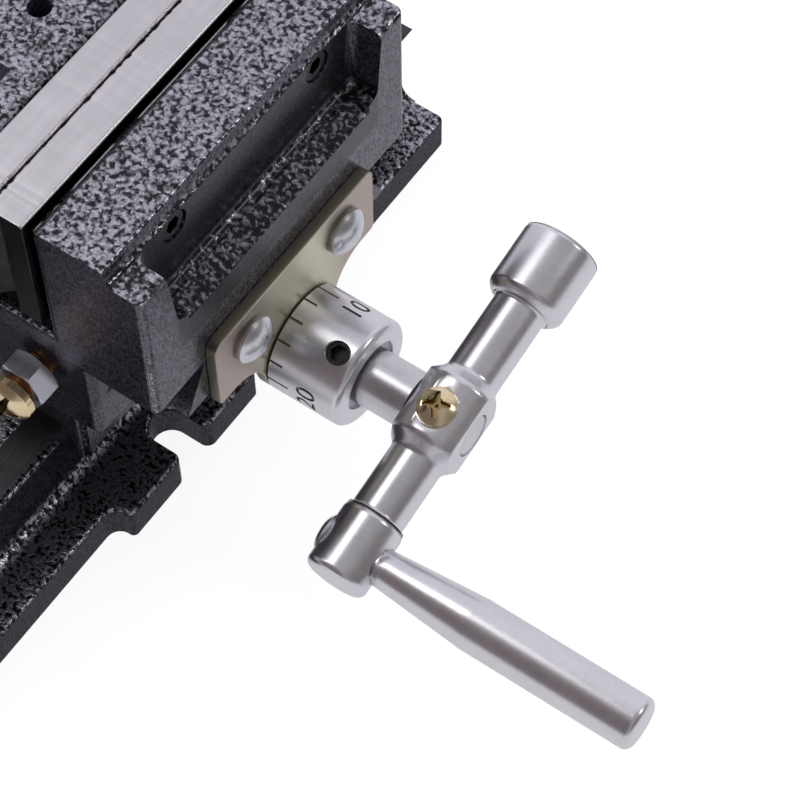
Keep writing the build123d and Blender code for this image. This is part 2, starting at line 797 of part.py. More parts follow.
def jaw_keeper():
    half = keeper_width / 2
    z1 = tail_top - jaw_gap
    keeper = block(
        tongue_back, tongue_front, saddle_y - half, saddle_y + half, z1 - keeper_thickness, z1
    )
    keeper = fillet(keeper.edges().filter_by(Axis.Z), soft_r)
    for frame in keeper_bolt_places():
        keeper -= frame * rod(m5_cap[0] + seat_gap, -keeper_thickness - past, past)
    return keeper


def vise_screw_pin():
    # A grub screw whose dog point runs in the groove of the screw's nose.
    tip = vise_screw_z + nose_r - nose_groove_depth + slide_gap
    shoulder = vise_screw_z + nose_r + tip_room
    top = shoulder + pin_length
    point_r = nose_groove_width / 2 - slide_gap
    pin = turned((tip, point_r), (shoulder, point_r), (shoulder, m6_pan[0]), (top, m6_pan[0]))
    return Pos(pin_x, saddle_y, 0) * (pin - Pos(0, 0, top) * socket())


# Screws, from the inner end out to the end that the crank's hub holds
def vise_screw():
    end = crank_end(vise_crank_x)
    inner = boss_back - body_rear
    nose = inner + nose_length - slide_gap
    groove = pin_x - body_rear
    side = nose_groove_width / 2 + slide_gap
    screw = turned(
        (-nose, nose_r - screw_chamfer), (-nose + screw_chamfer, nose_r),
        (-groove - side, nose_r), (-groove - side, nose_r - nose_groove_depth),
        (-groove + side, nose_r - nose_groove_depth), (-groove + side, nose_r),
        (-inner + slide_gap, nose_r), (-inner + slide_gap, vise_screw_r),
        (vise_crank_x - hub_flat, vise_screw_r), (vise_crank_x - hub_flat, crank_end_r),
        (end - shaft_chamfer, crank_end_r), (end, crank_end_r - shaft_chamfer),
    )
    return vise_station() * (screw - crank_screw_hole(vise_crank_x, vise_crank_angle))


def lead_screw(length, angle):
    # Thread, journal through bracket and dial, thick shank and crank end.
    shoulder = dial_start + dial_length - dial_recess_depth
    end = crank_end(crank_plane)
    screw = turned(
        (-length, lead_r - screw_chamfer), (-length + screw_chamfer, lead_r),
        (shoulder, lead_r), (shoulder, shank_r),
        (crank_plane - hub_flat, shank_r), (crank_plane - hub_flat, crank_end_r),
        (end - shaft_chamfer, crank_end_r), (end, crank_end_r - shaft_chamfer),
    )
    return screw - crank_screw_hole(crank_plane, angle)


def crank_end(plane):
    return plane + hub_flat - hub_setback


def crank_frame(plane, angle):
    # X runs along the arm towards the counterweight, Y across it, Z out along the screw.
    return Pos(0, 0, plane) * Rot(0, 0, angle)


def crank_screw_place():
    # On the crank's arm: Z points out of the hub along its screw, from the head's seat.
    return Pos(crank_screw_at, crank_screw_seat, 0) * Rot(-90, 0, 0)


def crank_screw_drill():
    return crank_screw_place() * rod(m5_pan[0] + seat_gap, -crank_screw_length - tip_room, past)


def crank_screw_hole(plane, angle):
    return crank_frame(plane, angle) * crank_screw_drill()


def crank_arm():
    arm = Rot(0, 90, 0) * turned(
        (block_end, block_r), (block_start - block_step, block_r), (block_start, block_r - block_step),
        (block_start, arm_r), (hub_low - hub_shoulder, arm_r), (hub_low, hub_r),
        (hub_high, hub_r), (hub_high + hub_shoulder, arm_r),
        (weight_start - weight_cone, arm_r), (weight_start - weight_cone, weight_root_r),
        (weight_start, weight_r), (weight_end - weight_chamfer, weight_r),
        (weight_end, weight_r - weight_chamfer),
    )
    tip = ShapeList(
        e
        for e in arm.edges().filter_by(GeomType.CIRCLE)
        if abs(e.center().X - block_end) < 0.01
    )
    arm = fillet(tip, block_edge_r)
    span = hub_high - hub_low + 2 * hub_shoulder
    middle = (hub_high + hub_low) / 2
    for side in (-1, 1):
        arm -= Pos(middle, 0, side * (hub_flat + hub_r)) * Box(span, 4 * hub_r, 2 * hub_r)
    arm -= rod(crank_end_r + seat_gap, -hub_r, hub_r)
    arm -= Pos(grip_at, 0, 0) * rod(grip_stem_r + seat_gap, -block_r, block_r)
    arm -= Pos(grip_at, 0, 0) * rod(grip_neck_r + sink_gap, grip_seat, block_r + past)
    arm -= Pos(grip_at, 0, 0) * rod(rivet_r + sink_gap, -block_r - past, -rivet_seat)
    arm -= crank_screw_place() * rod(m5_pan[1] + sink_gap, 0, m5_pan[2])
    return arm - crank_screw_drill()


def crank_grip():
    # Tapered neck and straight barrel, with a stem through the arm that is riveted over.
    grip = turned(
        (-rivet_seat, grip_stem_r), (grip_seat, grip_stem_r), (grip_seat, grip_neck_r),
        (grip_taper_end, grip_r), (grip_end, grip_r),
    )
    grip = fillet(rim_at(grip, grip_end, grip_r), grip_end_r)
    rivet = turned(
        (-rivet_seat - rivet_height, rivet_crown_r), (-rivet_seat - rivet_brow, rivet_brow_r),
        (-rivet_seat, rivet_r),
    )
    return Pos(grip_at, 0, 0) * (grip + rivet)


def crank_screw():
    return crank_screw_place() * pan_screw(m5_pan, crank_screw_length)


def thrust_ring():
    ring = rod(ring_r, -ring_length, 0)
    ring = chamfer(rim_at(ring, -ring_length, ring_r), ring_chamfer)
    return ring - rod(lead_r + seat_gap, -ring_length - past, past)


def dial():
    end = dial_start + dial_length
    collar = rod(dial_r, dial_start, end)
    collar = fillet(rim_at(collar, end, dial_r), dial_edge_r)
    collar = chamfer(rim_at(collar, dial_start, dial_r), dial_chamfer)
    collar -= rod(dial_recess_r, end - dial_recess_depth, end + past)
    collar -= rod(lead_r + seat_gap, 0, end)
    return collar - dial_screw_frame() * rod(dial_screw_r + seat_gap, 0, dial_r + past)


def dial_screw_frame():
    # Z points out of the collar along its grub screw.
    return Pos(0, 0, dial_screw_at) * Rot(0, 0, dial_screw_angle) * Rot(0, 90, 0)


def dial_set_screw():
    top = dial_r - dial_screw_sink
    screw = rod(dial_screw_r, lead_r + seat_gap, top) - Pos(0, 0, top) * socket()
    return dial_screw_frame() * screw


def bracket(top, low, screw_z, spread):
    # Flat plate with a lobe round the screw, swept into the plate's lower edge.
    half = bracket_width / 2
    outline = Pos(0, (top + low) / 2) * Rectangle(bracket_width, top - low)
    outline += Circle(lobe_r)
    rounds = [(half, top, bracket_corner_r), (half, low, bracket_low_r)]
    if low > 0:
        rounds.append((sqrt(lobe_r**2 - low**2), low, bracket_sweep_r))
    for x, y, r in rounds:
        corners = [v for v in outline.vertices() if abs(abs(v.X) - x) < 0.01 and abs(v.Y - y) < 0.01]
        outline = fillet(corners, r)
    plate = extrude(outline, bracket_thickness)
    plate -= rod(lead_r + fit_gap, -past, bracket_thickness + past)
    for side in (-1, 1):
        hole = rod(m6_pan[0] + seat_gap, -past, bracket_thickness + past)
        plate -= Pos(side * spread / 2, screw_z, 0) * hole
    return plate


def bracket_screws(screw_z, spread):
    screw = pan_screw(m6_pan, bracket_thickness + bracket_screw_depth)
    return [Pos(side * spread / 2, screw_z, bracket_thickness) * screw for side in (-1, 1)]


# Castings, gibs and nuts
save("base", base())
save("saddle", saddle())
save("vise_body", vise_body())
save("moving_jaw", moving_jaw())
lower_gib_half, upper_gib_half = saddle_lower_width / 2 - gib_end_gap, saddle_end - gib_end_gap
lower_frames, lower_depth = lower_gib_screw_places()
upper_frames, upper_depth = upper_gib_screw_places()
save(
    "lower_gib",
    gib(
        lower_gib_outline(), lower_frames, lower_depth,
        lambda outline: prism_y(outline, saddle_y - lower_gib_half, saddle_y + lower_gib_half),
    ),
)
save(
    "upper_gib",
    gib(
        upper_gib_outline(), upper_frames, upper_depth,
        lambda outline: prism_x(outline, -upper_gib_half, upper_gib_half),
    ),
)
gib_nut = Pos(0, 0, nut_from_wall) * hex_nut(m8_pan[0])
for name, frames, depth in (("lower", lower_frames, lower_depth), ("upper", upper_frames, upper_depth)):
    save(f"{name}_gib_screws", *[frame * gib_screw(depth) for frame in frames])
    save(f"{name}_gib_nuts", *[frame * gib_nut for frame in frames])
save("cross_lead_nut", cross_lead_nut())
save("cross_nut_bolts", *cross_nut_bolts())
save("base_lead_nut", base_lead_nut())
save("base_nut_bolts", *base_nut_bolts())

# Jaw plates, keeper and their screws
fixed_places = [fixed_jaw_screw_place(y) for y in jaw_screws_y]
moving_places = [moving_jaw_screw_place(y) for y in jaw_screws_y]
jaw_sides = (
    ("fixed", plate_back, jaw_back, plate_back, fixed_places, fixed_screw_length),
    ("moving", moving_face, moving_plate_front, moving_plate_front, moving_places, moving_screw_length),
)
for name, back, front, grip_x, places, length in jaw_sides:
    save(f"{name}_jaw_plate", jaw_plate(back, front, grip_x, places, length))
    save(f"{name}_jaw_screws", *[place * cap_screw(m5_cap, length) for place in places])
save("jaw_keeper", jaw_keeper())
save("keeper_bolts", *[place * cap_screw(m5_cap, keeper_bolt_length()) for place in keeper_bolt_places()])
save("vise_screw_pin", vise_screw_pin())
save("vise_screw", vise_screw())

# The two lead screws with their brackets, rings and dials, and the three cranks
stations = (
    ("base", base_station(), base_screw_length, base_crank_angle,
     (base_bracket_top, base_bracket_low, base_bracket_screw_z, base_bracket_screw_spread)),
    ("cross", cross_station(), cross_screw_length, cross_crank_angle,
     (cross_bracket_top, cross_bracket_low, cross_bracket_screw_z, bracket_screw_spread)),
)
for name, station, length, angle, plate in stations:
    save(f"{name}_screw_bracket", station * bracket(*plate))
    save(f"{name}_bracket_screws", *[station * screw for screw in bracket_screws(*plate[2:])])
    save(f"{name}_lead_screw", station * lead_screw(length, angle))
    save(f"{name}_thrust_ring", station * thrust_ring())
    save(f"{name}_dial", station * dial())
    save(f"{name}_dial_set_screw", station * dial_set_screw())

cranks = (
    ("base", base_station(), crank_plane, base_crank_angle),
    ("cross", cross_station(), crank_plane, cross_crank_angle),
    ("vise", vise_station(), vise_crank_x, vise_crank_angle),
)
for name, station, plane, angle in cranks:
    frame = station * crank_frame(plane, angle)
    save(f"{name}_crank_arm", frame * crank_arm())
    save(f"{name}_crank_grip", frame * crank_grip())
    save(f"{name}_crank_screw", frame * crank_screw())
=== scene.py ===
import json
import random
from math import cos, hypot, pi, radians, sin

import bmesh
import bpy
from mathutils import Matrix, Vector


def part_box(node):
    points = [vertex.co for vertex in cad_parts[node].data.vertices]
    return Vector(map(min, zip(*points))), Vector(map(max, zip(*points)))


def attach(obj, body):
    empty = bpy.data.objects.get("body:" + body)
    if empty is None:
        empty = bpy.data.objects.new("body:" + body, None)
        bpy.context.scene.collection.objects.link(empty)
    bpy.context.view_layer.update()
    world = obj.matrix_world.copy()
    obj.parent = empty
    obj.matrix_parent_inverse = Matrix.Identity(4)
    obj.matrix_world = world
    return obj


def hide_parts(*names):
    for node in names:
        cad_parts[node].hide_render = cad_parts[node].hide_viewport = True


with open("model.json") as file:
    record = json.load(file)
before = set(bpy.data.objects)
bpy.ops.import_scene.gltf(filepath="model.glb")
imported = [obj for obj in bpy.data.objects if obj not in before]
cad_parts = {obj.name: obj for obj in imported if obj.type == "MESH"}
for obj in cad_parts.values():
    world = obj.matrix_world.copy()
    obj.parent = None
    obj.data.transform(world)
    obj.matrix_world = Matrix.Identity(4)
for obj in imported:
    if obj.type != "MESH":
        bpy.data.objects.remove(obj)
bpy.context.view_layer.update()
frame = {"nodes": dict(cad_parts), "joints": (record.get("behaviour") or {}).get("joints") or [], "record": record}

mm = 0.001
joints = {joint["name"]: joint for joint in frame["joints"]}
print("frame loaded,", len(frame["nodes"]), "nodes")


# Camera, at the photograph's angle
view = {
    "place": (0.32960, -0.26686, 0.62894),
    "target": (0.09675, 0.06019, -0.02812),
    "roll": -0.79,            # degrees
    "lens": 124.3,
    "sensor": 36.0,
    "reach": (0.01, 20.0),    # metres from which and to which it sees
}


def makeCamera():
    data = bpy.data.cameras.new("camera")
    data.lens, data.sensor_width = view["lens"], view["sensor"]
    data.clip_start, data.clip_end = view["reach"]
    camera = bpy.data.objects.new("camera", data)
    bpy.context.scene.collection.objects.link(camera)
    camera.location = view["place"]
    sight = Vector(view["target"]) - Vector(view["place"])
    turn = sight.to_track_quat("-Z", "Y").to_matrix() @ Matrix.Rotation(radians(view["roll"]), 3, "Z")
    camera.rotation_euler = turn.to_euler()
    bpy.context.scene.camera = camera


# Shader maths: a value wraps a socket, and Python's operators add Math nodes
class Value:
    def __init__(self, shader, socket):
        self.shader, self.socket = shader, socket

    def __add__(self, other):
        return self.shader.maths("ADD", self, other)

    def __sub__(self, other):
        return self.shader.maths("SUBTRACT", self, other)

    def __rsub__(self, other):
        return self.shader.maths("SUBTRACT", other, self)

    def __mul__(self, other):
        return self.shader.maths("MULTIPLY", self, other)

    def __truediv__(self, other):
        return self.shader.maths("DIVIDE", self, other)

    def __rtruediv__(self, other):
        return self.shader.maths("DIVIDE", other, self)

    def __gt__(self, other):
        return self.shader.maths("GREATER_THAN", self, other)

    def __lt__(self, other):
        return self.shader.maths("LESS_THAN", self, other)

    __radd__, __rmul__ = __add__, __mul__

    def absolute(self):
        return self.shader.maths("ABSOLUTE", self)

    def between(self, low, high):
        # 0 below low, 1 above high, smooth between
        return self.shader.add(
            "ShaderNodeMapRange", {"interpolation_type": "SMOOTHSTEP"},
            {"Value": self, "From Min": low, "From Max": high},
        )


class Shader:
    def __init__(self, owner):
        # The owner is a material or a world
        owner.use_nodes = True
        self.owner, self.tree, self.place = owner, owner.node_tree, None
        self.tree.nodes.clear()

    def add(self, kind, settings=None, sockets=None, output=0):
        node = self.tree.nodes.new(kind)
        for key, setting in (settings or {}).items():
            setattr(node, key, setting)
        for key, value in (sockets or {}).items():
            if isinstance(value, Value):
                self.tree.links.new(value.socket, node.inputs[key])
            else:
                node.inputs[key].default_value = value
        return Value(self, node.outputs[output]) if node.outputs else None

    def maths(self, operation, *values):
        return self.add("ShaderNodeMath", {"operation": operation}, dict(enumerate(values)))

    def mixColour(self, factor, first, second):
        # Sockets 0, 6 and 7 of a Mix node set to colour are its factor and its two colours
        return self.add("ShaderNodeMix", {"data_type": "RGBA"}, {0: factor, 6: first, 7: second}, 2)

    def rays(self, kind):
        # 1 for one kind of ray, 0 for the others
        return self.add("ShaderNodeLightPath", output=f"Is {kind} Ray")

    def coords(self):
        if self.place is None:
            self.place = self.add("ShaderNodeTexCoord", output="Object")
        return self.place

    def part(self, vector, axis):
        return self.add("ShaderNodeSeparateXYZ", {}, {"Vector": vector}, axis)

    def facing(self, axis):
        # The share of an axis in a face's normal, whichever way it looks along it
        return self.part(self.add("ShaderNodeNewGeometry", output="Normal"), axis).absolute()

    def noise(self, sizes, detail=2.0, roughness=0.5, distortion=0.0, turn=(0, 0, 0)):
        # The sizes are those of the noise's cells along X, Y and Z, in millimetres
        cells = self.add(
            "ShaderNodeMapping", {"vector_type": "POINT"},
            {"Vector": self.coords(), "Rotation": turn, "Scale": [1 / (size * mm) for size in sizes]},
        )
        return self.add(
            "ShaderNodeTexNoise", {},
            {"Vector": cells, "Scale": 1.0, "Detail": detail, "Roughness": roughness,
             "Distortion": distortion},
            "Fac",
        )

    def inBox(self, low, high):
        # 1 inside a box given in millimetres, 0 outside
        inside = 1.0
        for axis, start, end in zip("XYZ", low, high):
            along = self.part(self.coords(), axis)
            inside = (along > start * mm) * (along < end * mm) * inside
        return inside

    def bump(self, height, strength, distance):
        return self.add(
            "ShaderNodeBump", {}, {"Height": height, "Strength": strength, "Distance": distance * mm},
            "Normal",
        )

    def surface(self, sockets):
        shader = self.add("ShaderNodeBsdfPrincipled", {}, sockets)
        self.add("ShaderNodeOutputMaterial", {}, {"Surface": shader})
        return self.owner


def newShader(name):
    return Shader(bpy.data.materials.new(name))


def grey(level):
    return (level, level, level, 1.0)


# Stage: pale floor, soft boxes and a plain studio
stage = {
    "floorSize": 6.0,
    "floorGrey": 0.30,
    "floorSeen": 0.90,                        # how bright the camera sees the floor
    "floorGloss": 0.60,                       # how bright the metal mirrors it
    "floorTint": (0.955, 0.94, 1.0, 1.0),     # and in which colour
    "sky": (0.40, 0.39, 0.40, 1.0),
    "walls": (
        # Which way each lies, the cosines between which it comes in, its colour
        ((0.95, 0.15, 0.0), (0.35, 0.95), (0.20, 0.185, 0.19, 1.0)),
        ((-0.3, -0.9, 0.45), (0.62, 0.86), (0.185, 0.155, 0.165, 1.0)),
        ((-0.45, 0.80, 0.45), (0.50, 0.80), (0.78, 0.77, 0.84, 1.0)),
    ),
    "aim": (0.05, 0.0, 0.08),                 # where the soft boxes point
}
softBoxes = {
    # name: place, size, watts
    "boxLeft": ((-0.70, -0.12, 1.37), (0.50, 1.00), 4.2),
    "boxRight": ((1.05, 0.65, 0.90), (0.22, 0.22), 1.6),
}


def makeFloor():
    bm = bmesh.new()
    bmesh.ops.create_grid(bm, x_segments=1, y_segments=1, size=stage["floorSize"] / 2)
    mesh = bpy.data.meshes.new("floor")
    bm.to_mesh(mesh)
    bm.free()
    floor = bpy.data.objects.new("floor", mesh)
    bpy.context.scene.collection.objects.link(floor)
    shader = newShader("paleFloor")
    seen, mirrored = shader.rays("Camera"), shader.rays("Glossy") + shader.rays("Transmission")
    glow = seen * stage["floorSeen"] + mirrored * stage["floorGloss"]
    tint = shader.mixColour(seen, stage["floorTint"], grey(1.0))
    diffuse = shader.add("ShaderNodeBsdfDiffuse", {}, {"Color": grey(stage["floorGrey"])})
    light = shader.add("ShaderNodeEmission", {}, {"Color": tint, "Strength": glow})
    both = shader.add("ShaderNodeAddShader", {}, {0: diffuse, 1: light})
    shader.add("ShaderNodeOutputMaterial", {}, {"Surface": both})
    mesh.materials.append(shader.owner)


def makeWorld():
    # White for the camera; the object is lit by the sky and its walls
    world = bpy.data.worlds.new("studio")
    bpy.context.scene.world = world
    shader = Shader(world)
    direction = shader.add("ShaderNodeTexCoord", output="Generated")
    colour = stage["sky"]
    for way, steps, wall in stage["walls"]:
        towards = shader.add(
            "ShaderNodeVectorMath", {"operation": "DOT_PRODUCT"},
            {0: direction, 1: Vector(way).normalized()}, "Value",
        )
        colour = shader.mixColour(towards.between(*steps), colour, wall)
    lit = shader.add("ShaderNodeBackground", {}, {"Color": colour, "Strength": 1.0})
    white = shader.add("ShaderNodeBackground", {}, {"Color": grey(1.0), "Strength": 1.0})
    seen = shader.add("ShaderNodeMixShader", {}, {0: shader.rays("Camera"), 1: lit, 2: white})
    shader.add("ShaderNodeOutputWorld", {}, {"Surface": seen})


def makeLights():
    for name, (place, size, watts) in softBoxes.items():
        data = bpy.data.lights.new(name, "AREA")
        data.shape = "RECTANGLE"
        data.size, data.size_y = size
        data.energy = watts
        lamp = bpy.data.objects.new(name, data)
        bpy.context.scene.collection.objects.link(lamp)
        lamp.location = place
        aim = Vector(stage["aim"]) - Vector(place)
        lamp.rotation_euler = aim.to_track_quat("-Z", "Y").to_euler()


bpy.context.scene.view_settings.view_transform = "Standard"
makeCamera()
makeFloor()
makeWorld()
makeLights()
print("stage made")


# Hammertone enamel of the castings
hammer = {
    # Noises: silver worms, flecks in them, patches, fine sags and a broken line for the painted highlight
    "worm": {"sizes": (1.25, 1.25, 1.25), "detail": 1.4, "roughness": 0.45, "distortion": 0.4},
    "grain": {"sizes": (0.6, 0.6, 0.6), "detail": 1.0, "turn": (0.6, 0.4, 0.9)},
    "patch": {"sizes": (13.0, 13.0, 13.0), "detail": 2.0},
    "sag": {"sizes": (0.6, 0.6, 1.1), "detail": 2.0, "roughness": 0.6, "distortion": 0.8},
    "broken": {"sizes": (3.0, 9.0, 3.0), "detail": 1.0},
    # Steps between which each noise comes in
    "wormSteps": (0.35, 0.66),
    "grainSteps": (0.3, 0.7),
    "sagSteps": (0.30, 0.72),
    "brokenSteps": (0.42, 0.5),
    # Steps of the share of up in a face's normal: where worms come in, and where rounded edges end
    "levelSteps": (0.32, 0.66),
    "flatSteps": (0.70, 0.97),
    # How far the worms' steps move with the patches, in painted shade and on rounded edges
    "patchShift": 0.10,
    "shadeShift": 0.075,
    "roundShift": 0.06,
    # How much silver goes along the edge beside the plate, painted black as shade, between flecks and in painted
    # shade
    "edgeShade": 0.85,
    "grainDims": 0.4,
    "shadeDims": 0.40,
    # How much rounded edges add, as a painted highlight
    "roundHighlight": 0.7,
    # Sags: their least strength, what the patches add, how much goes in the notch and at the tail as painted shade
    "sagLeast": 0.75,
    "patchAdds": 0.5,
    "notchDims": 0.74,
    "tailDims": 0.3,
    # Metal and roughness of the enamel, and what the worms add
    "metal": 0.55,
    "wormMetal": 0.4,
    "rough": 0.23,
    "wormRough": 0.06,
    # Shares of the relief, its strength, and its height in millimetres
    "wormHigh": 0.8,
    "grainHigh": 0.3,
    "sagHigh": 0.7,
    "strength": 0.9,
    "relief": 0.09,
    # Colours; the sags' silver is dimmer than the worms' as painted shade on upright faces, and the last is the
    # painted highlight's grey
    "enamel": (0.010, 0.0095, 0.0115, 1.0),
    "silver": (0.55, 0.53, 0.60, 1.0),
    "sagSilver": (0.20, 0.185, 0.245, 1.0),
    "highlightGrey": (0.55, 0.54, 0.58, 1.0),
    # Boxes on the fixed jaw, in millimetres: its notch, which takes painted shade, its rounded edge
    # beside the plate, painted black as shade, and the thin broken painted highlight along that edge
    "notch": ((83.0, -21.0, 101.0), (94.4, 57.0, 132.5)),
    "edge": ((62.0, -33.0, 132.0), (66.0, 69.0, 137.0)),
    "paintedHighlight": ((64.35, -33.0, 132.0), (64.95, 69.0, 137.0)),
    # The dovetail below the vise body, which takes painted shade too
    "tail": ((-95.0, -33.0, 70.0), (95.0, 69.0, 86.5)),
}


def hammertone(name, pale, shaded, rim):
    # Black enamel that has drawn back into silver worms on level faces and lies finer on upright ones; its silver
    # is paler on level faces as painted light, tops lit and sides shaded
    h = hammer
    shader = newShader(name)
    worm, grain, patch, sag, broken = (
        shader.noise(**h[noise]) for noise in ("worm", "grain", "patch", "sag", "broken")
    )
    notch, edge, paintedHighlight, tail = (shader.inBox(*h[box]) for box in ("notch", "edge", "paintedHighlight", "tail"))
    # Painted highlight: a thin broken pale line along the jaw's rounded edge beside the plate
    paintedHighlight = paintedHighlight * broken.between(*h["brokenSteps"])
    up = shader.facing("Z")
    level = up.between(*h["levelSteps"])
    # Painted shade: in the notch, on the tail, and over the whole casting as much as it asks
    paintedShade = shader.maths("MAXIMUM", shader.maths("MAXIMUM", notch, tail), shaded)
    # On rounded edges and in corners the worms are fewer, and brighter as a painted highlight
    bend = 1 - up.between(*h["flatSteps"])
    shift = (patch - 0.5) * h["patchShift"] - paintedShade * h["shadeShift"] - bend * h["roundShift"]
    # Almost no silver on the edge beside the plate, painted black as shade
    worms = (worm + shift).between(*h["wormSteps"]) * (1 - edge * h["edgeShade"])
    flecks = 1 - h["grainDims"] + grain.between(*h["grainSteps"]) * h["grainDims"]
    flat = worms * flecks * (1 - paintedShade * h["shadeDims"]) * (1 + bend * h["roundHighlight"])
    sags = sag.between(*h["sagSteps"]) * (h["sagLeast"] + patch * h["patchAdds"])
    # Upright faces dim in the notch, on the tail and on the lower castings as painted shade
    steep = sags * (1 - notch * h["notchDims"] - tail * h["tailDims"]) * pale
    # Upright faces darker than level ones: their finer texture, and painted shade
    upright = shader.mixColour(steep, h["enamel"], h["sagSilver"])
    colour = shader.mixColour(level, upright, shader.mixColour(flat, h["enamel"], h["silver"]))
    height = (worms * h["wormHigh"] + grain * h["grainHigh"]) * level + sag * (1 - level) * h["sagHigh"]
    return shader.surface({
        # Where the painted highlight lies, the colour turns pale grey and the metal goes
        "Base Color": shader.mixColour(paintedHighlight, colour, h["highlightGrey"]),
        "Metallic": (h["metal"] + worms * level * h["wormMetal"]) * (1 - paintedHighlight),
        "Roughness": h["rough"] + worms * h["wormRough"],
        # A greyer Specular Tint weakens the lower castings' gloss as painted shade
        "Specular Tint": grey(rim),
        "Normal": shader.bump(height, h["strength"], h["relief"]),
    })


# Bare, plated and blackened metal
brush = {
    "mark": {"detail": 3.0, "roughness": 0.6},
    "cloud": {"sizes": (9.0, 9.0, 9.0), "detail": 3.0},
    "markShare": 0.55,     # of the change in colour; the rest is cloudy staining
    "steps": (0.3, 0.7),
    "markRough": 0.06,
    "cloudRough": 0.05,
    "strength": 0.3,
}


def brushed(name, colour, dark, sizes, roughness, relief):
    # Metal with fine marks, drawn out along an axis or not, and a little cloudy staining
    b = brush
    shader = newShader(name)
    marks, cloud = shader.noise(sizes, **b["mark"]), shader.noise(**b["cloud"])
    share = marks * b["markShare"] + cloud * (1 - b["markShare"])
    return shader.surface({
        "Base Color": shader.mixColour(share.between(*b["steps"]), dark, colour),
        "Metallic": 1.0,
        "Roughness": roughness + (marks - 0.5) * b["markRough"] + (cloud - 0.5) * b["cloudRough"],
        "Normal": shader.bump(marks, b["strength"], relief),
    })


# Yellow passivated plate of the two brackets
olive = {
    "cloud": {"sizes": (16.0, 16.0, 16.0), "detail": 2.0},
    "fine": {"sizes": (2.5, 2.5, 2.5), "detail": 2.0},
    "endSteps": (8.0, 24.0),     # millimetres from the middle between which the ends' colour comes in
    "wander": 14.0,              # how far the clouds move that
    "cloudSteps": (0.3, 0.7),
    "rimSteps": (0.2, 0.75),     # share of a face's normal between the rim and the broad faces
    "deep": (0.58, 0.56, 0.42, 1.0),
    "light": (0.70, 0.69, 0.53, 1.0),
    # The ends' colour is a painted reflection, the rim's a painted shade
    "ends": (0.47, 0.405, 0.355, 1.0),
    "rim": (0.25, 0.235, 0.17, 1.0),
    "rough": 0.36,
    "fineRough": 0.05,
    "strength": 0.3,
    "relief": 0.004,
}


def passivated(name, along, across, middle):
    # Olive at a bracket's middle, pinker towards its two ends as a painted reflection of the pale floor, and
    # darker on its rim as painted shade
    o = olive
    shader = newShader(name)
    cloud, fine = shader.noise(**o["cloud"]), shader.noise(**o["fine"])
    away = (shader.part(shader.coords(), along) - middle * mm).absolute() / mm
    # Painted reflection towards the two ends
    ends = (away + (cloud - 0.5) * o["wander"]).between(*o["endSteps"])
    plate = shader.mixColour(cloud.between(*o["cloudSteps"]), o["deep"], o["light"])
    plate = shader.mixColour(ends, plate, o["ends"])
    # Painted shade on the rim
    broad = shader.facing(across).between(*o["rimSteps"])
    return shader.surface({
        "Base Color": shader.mixColour(broad, o["rim"], plate),
        "Metallic": 1.0,
        "Roughness": o["rough"] + fine * o["fineRough"],
        "Normal": shader.bump(fine, o["strength"], o["relief"]),
    })


